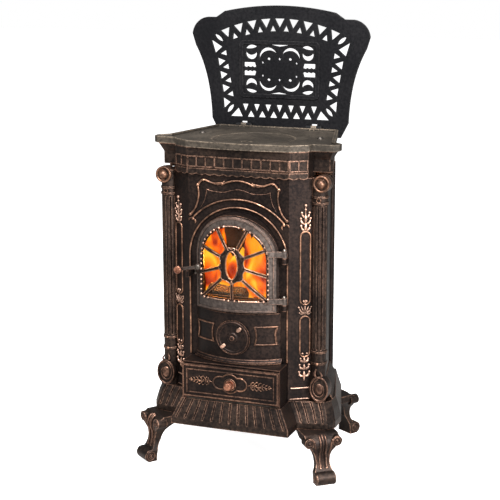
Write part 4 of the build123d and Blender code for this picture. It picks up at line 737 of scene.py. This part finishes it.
def flank_finial(r, word):
    """The leafy finial on the upper loop, and the palmette between the loops."""
    face = flanks[word]
    r.line(face, straight((FLANK_MID, 621), (FLANK_MID, 681), 12), 1.6, 0.6, thin=1.0)
    r.bead(face, FLANK_MID, 681.5, 4.2, 1.6)
    r.bead(face, FLANK_MID, 672.0, 3.0, 1.4)
    for low, high, *size in MIDDLE_LEAVES[:2]:
        r.leaf(face, [(FLANK_MID, low), (FLANK_MID, high)], *size)
    for way in (1, -1):
        for low, reach, high in FINIAL_LEAVES:
            spine = [(FLANK_MID + way * u, z) for u, z in ((1, low), (reach * 0.75, low + 4), (reach, high))]
            r.leaf(face, spine, 3.1, 3.4)
            r.bead(face, FLANK_MID + way * reach, high, 3.3, 1.5)
        r.bead(face, FLANK_MID + way * 3.2, 443.5, 3.4, 1.4)
        for spine, width, height, tip in PALMETTE_LEAVES:
            r.leaf(face, [(FLANK_MID + way * u, z) for u, z in spine], width, height)
            if tip:
                r.bead(face, FLANK_MID + way * tip[0], *tip[1:])
    for low, high, *size in MIDDLE_LEAVES[2:]:
        r.leaf(face, [(FLANK_MID, low), (FLANK_MID, high)], *size)


def flank_leaves(r, word):
    """The hanging leaves below the loops, and the rails of the flank's foot."""
    face = flanks[word]
    for low, reach, high in HANGING_LEAVES:
        for way in (1, -1):
            spine = [(LEAF_MID + way * u, z) for u, z in ((0, low), (reach * 0.8, low + 3), (reach, high))]
            r.leaf(face, spine, 3.4, 3.6)
            r.bead(face, LEAF_MID + way * reach, high, 3.0, 1.5)
        r.leaf(face, [(LEAF_MID, low - 3), (LEAF_MID, low + 14)], 3.8, 4.0)
    r.leaf(face, [(LEAF_MID, 254), (LEAF_MID, 239)], 3.0, 3.2)
    for way in (1, -1):
        r.bead(face, FLANK_MID + way * 5.5, 310.0, 2.6, 1.2)
    r.line(face, straight((7, 221), (55, 221), 12), 1.7, 0.6)
    r.line(face, straight((5, 193), (57, 193), 13), 1.2, 0.3)


# Corner columns: bosses above, scrolls below

COLUMN = (197.6, -102.8)
COLUMN_R = 19.6
COLUMN_FRONT = {"right": -86, "left": -94}
COLUMN_BEADS = ((287.0, 4.2, 1.2), (316.0, 2.4, 1.0))
RING_Z = 695.5
RING_HALF = (15, 5.2)
BOSS = (204.8, 736.0)
# The boss as turned: radius and Y, from its back to the rim of its dome
BOSS_PROFILE = ((19.6, -103.0), (20.8, -106.0), (20.8, -121.4), (20.2, -123.4), (18.4, -124.6),
                (16.4, -123.8), (15.2, -121.6), (13.4, -120.6), (11.4, -120.8))
BOSS_DOME_R = 10.9
BOSS_DOME_Y = -121.6
SCROLL = (205.0, 223.0)
SCROLL_Y = -125.8
# The scroll's eye: height off the face, half width and half height
SCROLL_EYE = ((-3.2, 10.5, 14.5), (-1.2, 10.5, 14.5), (0.0, 9.2, 13.0), (0.8, 6.0, 9.0), (1.1, 2.0, 3.0))


class Shaft:
    """The outside of a column: u is the angle in degrees, and h stands off it."""

    def __init__(self, word):
        self.x = SIDES[word] * COLUMN[0]

    def at(self, u, z, h):
        reach = COLUMN_R + h
        return Vector((self.x + reach * cos(radians(u)), COLUMN[1] + reach * sin(radians(u)), z))


def column_boss(r, word):
    """A turned drum with a domed middle on the column's top, and a small ring on the shaft below."""
    dome = [(BOSS_DOME_R * cos(radians(t)), BOSS_DOME_Y - BOSS_DOME_R * sin(radians(t)))
            for t in (0, 15, 30, 45, 60, 75, 86)]
    r.skin([[Vector((SIDES[word] * BOSS[0] + radius * c, y, BOSS[1] + radius * s)) for c, s in circle(40)]
            for radius, y in list(BOSS_PROFILE) + dome])
    ring = [(COLUMN_FRONT[word] + RING_HALF[0] * c, RING_Z + RING_HALF[1] * s) for c, s in circle(24)]
    r.line(Shaft(word), ring, 1.0, 0.2, closed=True)


def column_scroll(r, word):
    """The oval scroll at the column's foot, with two leaves above."""
    foot = Flat((0, SCROLL_Y), side=SIDES[word])
    r.line(foot, loop(*SCROLL, 22.0, 30.5, 40), 2.1, -0.4, closed=True)
    r.line(foot, spiral(SCROLL, (17.5, 25.5), (11.5, 15.0), 100, 300, 30), 1.9, -1.2, thin=1.6)
    r.skin([[foot.at(SCROLL[0] + wide * c, SCROLL[1] + tall * s, h) for c, s in circle(24)]
            for h, wide, tall in SCROLL_EYE])
    r.leaf(foot, [(SCROLL[0] + u, z) for u, z in ((-6, 253), (-11, 262), (-7, 275))], 3.4, 3.2)
    r.leaf(foot, [(SCROLL[0] + u, z) for u, z in ((4, 253), (7, 260), (2, 270))], 2.8, 2.8)


def column_beads(r, word):
    """Two beads on the shaft above the scroll."""
    for bead in COLUMN_BEADS:
        r.bead(Shaft(word), COLUMN_FRONT[word], *bead)


# Air valve panel and ledge

PANEL_R = 175.0
PANEL_NEAR = 54.0
PANEL_FAR = 104.0
PANEL_LOW = 335.0
PANEL_HIGH = 380.0
PANEL_BEND = 4.0
VALVE_FRONT = -185.0
VALVE_Z = 351.0
VALVE_RIM_R = 40.4
TABS = ((18, 23), (-24, -22))
TAB_TILT = radians(40)
TAB_HALF = (7.8, 4.6)
TAB_ROUNDING = 0.6
TAB_LAYERS = ((-1.0, 1.0), (2.6, 1.0), (3.6, 0.86), (4.0, 0.6))
LEDGE_HALF = 108
LEDGE_STEPS = ((181.3, 286.0), (179.4, 290.0), (176.8, 295.6))

valve_face = Flat((0, VALVE_FRONT))


def valve_panel_frames(r):
    """A frame with drawn-in ends on each side of the air valve."""
    middle = (PANEL_LOW + PANEL_HIGH) / 2
    near_end = [(PANEL_NEAR, PANEL_LOW), (PANEL_NEAR + PANEL_BEND, middle), (PANEL_NEAR, PANEL_HIGH)]
    far_end = [(PANEL_FAR, PANEL_HIGH), (PANEL_FAR - PANEL_BEND, middle), (PANEL_FAR, PANEL_LOW)]
    edge = straight(near_end[-1], far_end[0], 8) + smooth(far_end, 4)
    edge += straight(far_end[-1], near_end[0], 8)[1:] + smooth(near_end, 4)[:-1]
    for side in SIDES.values():
        r.line(Bowed(PANEL_R), mirrored(edge, side), BAR, 0.65, closed=True)


def bulged(value):
    """Pushes a sine or cosine outward, so that a circle becomes a rounded block."""
    return copysign(abs(value) ** TAB_ROUNDING, value)


def valve_disc_tabs(r):
    """Two finger grips on the air valve."""
    for u, z in TABS:
        rings = []
        for h, share in TAB_LAYERS:
            ring = []
            for c, s in circle(20):
                p = TAB_HALF[0] * share * bulged(c)
                q = TAB_HALF[1] * share * bulged(s)
                ring.append(valve_face.at(u + p * cos(TAB_TILT) - q * sin(TAB_TILT),
                                          VALVE_Z + z + p * sin(TAB_TILT) + q * cos(TAB_TILT), h))
            rings.append(ring)
        r.skin(rings)


def valve_disc_rim(r):
    """The valve's rim and the button in its middle."""
    r.line(valve_face, loop(0, VALVE_Z, VALVE_RIM_R, VALVE_RIM_R, 64), 0.9, -0.2, closed=True)
    r.bead(valve_face, 0, VALVE_Z, 2.6, 2.4)


def ledge_steps(r):
    """Thin lines along the moulded ledge under the door."""
    for radius, z in LEDGE_STEPS:
        ends = [(-LEDGE_HALF, z), (LEDGE_HALF, z)]
        r.line(Bowed(radius), straight(*ends, 24) + ends[1:], 1.0, 0.0)


# Ash drawer

DRAWER_Y = -202.4
KNOB_Z = 236.0
LINE_INSET = 1.5
LOBE_U = 25.0
LOBE_HALF = (20.5 - LINE_INSET, 18.0 - LINE_INSET)
CENTRE_R = 25.5 - LINE_INSET
SEARCH_STEP = 0.15
SEARCH_STEPS = 400
SPRAY_Z = 240
SPRAY_STEM = ((48, 239), (60, 242), (72, 238), (84, 241), (96, 238), (106, 240))
# Leaves of the spray: place along the stem, reach, lean
SPRAY_LEAVES = ((54, 9.5, 7), (63, 10.5, 8), (73, 9.5, 8), (83, 8.0, 8), (92, 6.5, 7), (100, 4.5, 6))
SPRAY_BERRIES = ((59, 238), (69, 242), (79, 238))
TIP_BEADS_TO = 80

drawer_face = Flat((0, DRAWER_Y))
drawer_lowest, drawer_highest = ([size / MM for size in corner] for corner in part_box("drawer_front"))


def drawer_frames(r):
    """Two bars round the drawer's front."""
    for inset in (3.0, 12.5):
        half, low, high = drawer_highest[0] - inset, drawer_lowest[2] + inset, drawer_highest[2] - inset
        corners = [(-half, low), (half, low), (half, high), (-half, high)]
        edge = []
        for a, b in zip(corners, corners[1:] + corners[:1]):
            edge += straight(a, b, int(hypot(b[0] - a[0], b[1] - a[1]) / 8.0))
        r.line(drawer_face, edge, 1.5, 0.5, closed=True)


def in_cartouche(u, z):
    """Whether a point lies in the raised middle: a disc with an oval lobe on each side."""
    lobes = (((u - way * LOBE_U) / LOBE_HALF[0]) ** 2 + (z / LOBE_HALF[1]) ** 2 <= 1 for way in (1, -1))
    return u * u + z * z <= CENTRE_R ** 2 or any(lobes)


def drawer_scroll_frame(r):
    """The bar round the raised middle, and the ring round the knob."""
    middle = (drawer_lowest[2] + drawer_highest[2]) / 2 + 2
    outline = []
    for c, s in circle(96):
        reach = SEARCH_STEP * max(j for j in range(SEARCH_STEPS)
                                  if in_cartouche(SEARCH_STEP * j * c, SEARCH_STEP * j * s))
        outline.append((reach * c, middle + reach * s))
    r.line(drawer_face, outline, 2.0, 0.2, closed=True)
    r.line(drawer_face, loop(0, KNOB_Z, 14.5, 14.5, 28), 1.7, 0.3, closed=True)


def drawer_leaf_sprays(r):
    """A wavy stem with paired leaves and berries on each side."""
    for side in SIDES.values():
        r.line(drawer_face, smooth(mirrored(SPRAY_STEM, side), 5), 1.2, 0.6, thin=0.7)
        for u, reach, lean in SPRAY_LEAVES:
            for way in (1, -1):
                bend = (u + lean * 0.35, SPRAY_Z + way * reach * 0.72)
                tip = (u + lean, SPRAY_Z + way * reach)
                r.leaf(drawer_face, mirrored([(u, SPRAY_Z), bend, tip], side), 1.9, 2.4)
                if u < TIP_BEADS_TO:
                    r.bead(drawer_face, side * tip[0], tip[1], 1.9, 1.0)
        for u, z in SPRAY_BERRIES:
            r.bead(drawer_face, side * u, z, 2.2, 1.2)
        r.leaf(drawer_face, mirrored([(101, 239.5), (110, 240)], side), 2.0, 2.2)


# Door: beads round the window, and the plate, rails, ring and curls of the sunburst

DOOR_R = 183.5
WINDOW_HALF = 86.0
WINDOW_LOW = 447.0
WINDOW_SPRING = 546.5
SUN_Z = 535.0
# Rays of the right half: where they leave the plate, from its middle, and their slope
RAYS = (((14, 40.5), 62.4), ((31, 19.5), 21.4), ((34, -8.5), -19.1), ((27, -35.5), -42.5),
        ((0, -44.5), -90.0))
RAY_HALF = 3.0
BEAD_PITCH = 6.4
RAY_GAP = 4
CROWN_HALF = 20
SHOULDER = (30, 25)
# The plate's right edge, from its top: angle and distance from its middle
SUN_PLATE_EDGE = ((90, 44), (71, 43), (52, 37.5), (32, 38), (10, 30), (-14, 35.5), (-34, 34),
                  (-52, 44.5), (-72, 41.5))
SUN_PLATE_FOOT = (0.0, -47.0)
SUN_HOLE = (15.0, 34.4)

door_face = Bowed(DOOR_R)
window_edge = straight((-WINDOW_HALF, WINDOW_LOW), (WINDOW_HALF, WINDOW_LOW), 90)
window_edge += straight((WINDOW_HALF, WINDOW_LOW), (WINDOW_HALF, WINDOW_SPRING), 52)
window_edge += arc(0, WINDOW_SPRING, WINDOW_HALF, WINDOW_HALF, 0, 180, 140)
window_edge += straight((-WINDOW_HALF, WINDOW_SPRING), (-WINDOW_HALF, WINDOW_LOW), 52)[1:]


def in_window(u, z, margin=0.0):
    """Whether a point lies inside the arched window, by a margin."""
    half = WINDOW_HALF - margin
    in_arch = z <= WINDOW_SPRING or hypot(u, z - WINDOW_SPRING) <= half
    return abs(u) <= half and z >= WINDOW_LOW + margin and in_arch


def spokes():
    """Where the rays meet the window's edge, as places in window_edge."""
    places = []
    for (u, z), slope in RAYS:
        line = [(u + k * cos(radians(slope)), SUN_Z + z + k * sin(radians(slope))) for k in range(200)]
        tip = [point for point in line if in_window(*point)][-1]
        for side in ways(u):
            places.append(min(range(len(window_edge)), key=lambda k: hypot(
                window_edge[k][0] - side * tip[0], window_edge[k][1] - tip[1])))
    return sorted(places)


def is_bar(u, z):
    """Whether the edge is worn to a bar there: on the sill, the crown and the right shoulder."""
    on_shoulder = u > SHOULDER[0] and z > WINDOW_SPRING + SHOULDER[1]
    return z < WINDOW_LOW + 1 or abs(u) < CROWN_HALF or on_shoulder


def window_beads(r):
    """Beads along the window's edge between the rays. A bar takes the place of the middle ones."""
    total = len(window_edge)
    places = spokes()
    for spot, following in zip(places, places[1:] + places[:1]):
        span = (following - spot) % total
        first, last = RAY_GAP, span - RAY_GAP
        beads = max(2, round((last - first) / BEAD_PITCH) + 1)
        bar = is_bar(*window_edge[(spot + span // 2) % total])
        for j in range(beads):
            place = window_edge[(spot + round(first + (last - first) * j / (beads - 1))) % total]
            if not bar or j in (0, 1, beads - 2, beads - 1):
                r.bead(door_face, *place, 3.0 if j in (0, beads - 1) else 2.6, 2.4)
        if bar:
            stretch = [window_edge[(spot + j) % total] for j in range(first + 6, last - 5, 2)]
            r.line(door_face, stretch, 1.3, 1.2)


def plate_outline():
    """The scalloped edge of the sunburst's plate."""
    right_half = [(d * cos(radians(t)), d * sin(radians(t))) for t, d in SUN_PLATE_EDGE]
    points = right_half + [SUN_PLATE_FOOT] + list(reversed(mirrored(right_half[1:], -1)))
    return smooth([(u, z + SUN_Z) for u, z in points], 5, closed=True)


def sun_plate(r):
    """The scalloped plate in the middle of the rays, with an oval hole."""
    edge = plate_outline()
    hole = []
    for u, z in edge:
        out = hypot(u / SUN_HOLE[0], (z - SUN_Z) / SUN_HOLE[1])
        hole.append((u / out, SUN_Z + (z - SUN_Z) / out))
    r.skin([[door_face.at(u, z, h) for u, z in line]
            for line, h in ((edge, -3.2), (edge, -0.2), (hole, 0.2), (hole, -3.2))], closed=True)


def sunburst_rails(r):
    """A bar round the plate, and two along each ray."""
    r.line(door_face, plate_outline(), 1.15, 0.0, closed=True)
    for (u, z), slope in RAYS:
        ahead = (cos(radians(slope)), sin(radians(slope)))
        for off in (RAY_HALF, -RAY_HALF):
            run = []
            for k in range(60):
                far = 2.0 * (k - 0.5)
                point = (u + far * ahead[0] - off * ahead[1], z + SUN_Z + far * ahead[1] + off * ahead[0])
                if not in_window(*point, margin=1.0):
                    break
                run.append(point)
            for side in ways(u):
                r.line(door_face, mirrored(run, side), 1.35, 0.0)


def sunburst_ring(r):
    """The ring round the oval hole, with a leaf below."""
    r.line(door_face, loop(0, SUN_Z, 15.6, 35.0, 48), 1.6, 0.5, closed=True)
    r.leaf(door_face, [(0, SUN_Z - 37), (0, SUN_Z - 47)], 2.4, 2.0)


def sunburst_curls(r):
    """Two curls on top of the plate."""
    for side in SIDES.values():
        r.line(door_face, mirrored(arc(5.4, SUN_Z + 41.0, 3.6, 3.6, -60, 200, 14), side), 1.2, 2.2, thin=1.0)


# Legs: scroll ends, ribs and toe eyes

LEGS = {"front_left": (-240, -180, -128), "front_right": (240, -180, -52),
        "rear_left": (-196, 198.3, 124), "rear_right": (196, 198.3, 56)}
LEG_SCROLL = (36, 104.7)
LEG_SCROLL_OUT = -11.2
TOE_EYE = (-1, 16.4)
TOE_EYE_RINGS = ((11.0, 1.8), (5.6, 1.3))
# Ribs down the face: place at the top, place at the foot, radius and top height
LEG_RIBS = ((0, 0, 3.4, 118), (7.5, 6.0, 2.9, 117), (24.0, 11.5, 3.3, 108))
RIB_LOW = 37
RIB_STEPS = 21
RIB_SINK = 1.2


class Leg:
    """A leg's own axes: out along the leg's direction, u to its side, z up."""

    def __init__(self, word, x, y, angle):
        mesh = nodes["leg_" + word].data
        self.faces = BVHTree.FromPolygons([v.co for v in mesh.vertices],
                                          [list(p.vertices) for p in mesh.polygons])
        self.x, self.y = x, y
        self.out = (cos(radians(angle)), sin(radians(angle)))

    def point(self, out, u, z):
        x = self.x + out * self.out[0] - u * self.out[1]
        y = self.y + out * self.out[1] + u * self.out[0]
        return Vector((x, y, z))

    def under_face(self, u, z, sink):
        """A point sunk under the leg's outer face."""
        start = self.point(60, u, z)
        inward = (self.point(-60, u, z) - start).normalized()
        return self.faces.ray_cast(start * MM, inward)[0] / MM + inward * sink


def leg_scrolls(r, word):
    """The ornament of one leg."""
    leg = Leg(word, *LEGS[word])
    for side in SIDES.values():
        wind = spiral(LEG_SCROLL, (10.8, 10.8), (3.2, 3.2), 200, -486, 34)
        r.sweep([leg.point(LEG_SCROLL_OUT, side * u, z) for u, z in wind], 1.9, thin=1.3)
        r.ball(leg.point(LEG_SCROLL_OUT - 0.6, side * LEG_SCROLL[0], LEG_SCROLL[1]), 3.6)
        for radius, thick in TOE_EYE_RINGS:
            eye = [leg.point(TOE_EYE[0] + radius * c, side * 24.2, TOE_EYE[1] + radius * s)
                   for c, s in circle(24)]
            r.sweep(eye, thick, closed=True, sides=6)
        r.ball(leg.point(TOE_EYE[0], side * 22.8, TOE_EYE[1]), 3.4)
    for start, end, thick, top in LEG_RIBS:
        for side in ways(start):
            run = []
            for k in range(RIB_STEPS + 1):
                t = k / RIB_STEPS
                u = start + (end - start) * t ** 0.8
                run.append(leg.under_face(side * u, top - (top - RIB_LOW) * t, RIB_SINK))
            r.sweep(run, thick, thin=2.0)


# Fire: charred logs, embers and flames behind the window

GRATE_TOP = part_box("grate")[1][2] / MM
# Logs: both ends, radius, seed
LOGS = {
    "left": ((-104, -72, GRATE_TOP + 24), (2, -84, GRATE_TOP + 22), 21, 3),
    "right": ((-30, 10, GRATE_TOP + 24), (96, -28, GRATE_TOP + 24), 22, 5),
    "upper": ((-70, 20, GRATE_TOP + 44), (52, -44, GRATE_TOP + 62), 17, 8),
}
EMBERS = 90
FLAME_LOW = GRATE_TOP + 10
# Tongues of flame: x, y, height, radius, lean
TONGUES = (
    (-110, -48, 176, 24, 4), (-94, -40, 196, 30, 6), (-78, -50, 150, 24, -8), (-58, -42, 112, 26, 4),
    (-42, -52, 108, 25, 6), (-26, -40, 122, 28, -8), (-8, -54, 136, 25, 6), (4, -62, 168, 26, 4),
    (22, -56, 192, 30, 6), (40, -62, 180, 28, -5), (56, -54, 186, 28, 4), (74, -62, 140, 25, -6),
    (92, -54, 124, 23, -6), (-104, -16, 176, 26, 4), (-74, -10, 112, 26, -6), (-30, -8, 104, 28, 6),
    (12, -12, 186, 28, 4), (50, -14, 182, 30, 4), (88, -20, 140, 24, 4),
)


def fire_log(r, word):
    """A charred log with rough bark and burnt ends."""
    *ends, radius, seed = LOGS[word]
    rng = Random(seed)
    a, b = (Vector(end) for end in ends)
    along = (b - a).normalized()
    side = along.orthogonal().normalized()
    across = along.cross(side)
    around, rows = 22, 16
    swell = [rng.uniform(0.86, 1.08) for _ in range(around)]
    rings = []
    for k in range(rows + 1):
        t = k / rows
        burnt = min(1.0, 0.55 + 6 * min(t, 1 - t))
        middle = a.lerp(b, t) + side * (5 * sin(pi * t + seed))
        rings.append([middle + (side * c + across * s) * (radius * burnt * bark * rng.uniform(0.93, 1.07))
                      for (c, s), bark in zip(circle(around), swell)])
    r.skin(rings)


def embers(r):
    """Lumps of glowing charcoal over the grate."""
    rng = Random(11)
    for _ in range(EMBERS):
        at = Vector((rng.uniform(-98, 98), rng.uniform(-72, 66), GRATE_TOP + rng.uniform(2, 9)))
        size = rng.uniform(5, 10)
        rings = []
        for k in range(1, 5):
            a = pi * k / 5
            rings.append([at + Vector((sin(a) * c, sin(a) * s, 0.8 * cos(a)))
                          * (size * rng.uniform(0.75, 1.15)) for c, s in circle(7, phase=k)])
        r.skin(rings)


def flame(r, x, y, height, radius, lean, phase):
    """One tongue of flame: a swelling, twisting shape that ends in a point."""
    rows, around = 20, 12
    rings = []
    for k in range(rows + 1):
        t = k / rows
        wide = radius * (0.55 + 1.5 * t) * (1 - t) ** 0.85 + 0.5
        cx = x + lean * t * t + 7 * t * sin(5.5 * t + phase)
        cy = y + 5 * t * cos(4.5 * t + phase)
        ring = []
        for j, (c, s) in enumerate(circle(around)):
            lick = 1 + 0.22 * sin(3 * (2 * pi * j / around) + 6 * t + phase)
            ring.append(Vector((cx + wide * c * lick, cy + 0.6 * wide * s, FLAME_LOW + height * t)))
        rings.append(ring)
    r.skin(rings)


def flames(r):
    """All the tongues as one piece."""
    for k, tongue in enumerate(TONGUES):
        flame(r, *tongue, phase=1.7 * k)


# All the pieces

make(door_border, rubbed_relief)
make(hood_moulding, rubbed_relief)
make(scroll_frame, rubbed_relief)
make(scroll_frame_inner_line, body_iron)
for word in SIDES:
    make(flank_loops, rubbed_relief, word)
    make(flank_finial, rub_and_painted_highlight_relief, word)
    make(flank_leaves, rub_and_painted_highlight_relief, word)
for word in SIDES:
    make(column_boss, dull_relief, word)
    make(column_scroll, brown_relief, word)
    make(column_beads, rubbed_relief, word)
make(valve_panel_frames, dull_relief)
make(valve_disc_tabs, rub_and_painted_highlight_relief, body="valve")
make(valve_disc_rim, brown_relief, body="valve")
make(ledge_steps, body_iron)
make(drawer_frames, dull_relief, body="ash_drawer")
make(drawer_scroll_frame, dull_relief, body="ash_drawer")
make(drawer_leaf_sprays, rubbed_relief, body="ash_drawer")
make(window_beads, rub_and_painted_highlight_relief, body="door", slot="door_iron")
make(sun_plate, grille_iron, body="door", slot="door_iron")
make(sunburst_rails, rubbed_relief, body="door", slot="door_iron")
make(sunburst_ring, rubbed_relief, body="door", slot="door_iron")
make(sunburst_curls, rub_and_painted_highlight_relief, body="door", slot="door_iron")
for word in LEGS:
    make(leg_scrolls, brown_relief, word)
for word in LOGS:
    make(fire_log, charred, word, slot="inner_iron")
make(embers, ember_glow, slot="inner_iron")
make(flames, flame_glow, slot="inner_iron")
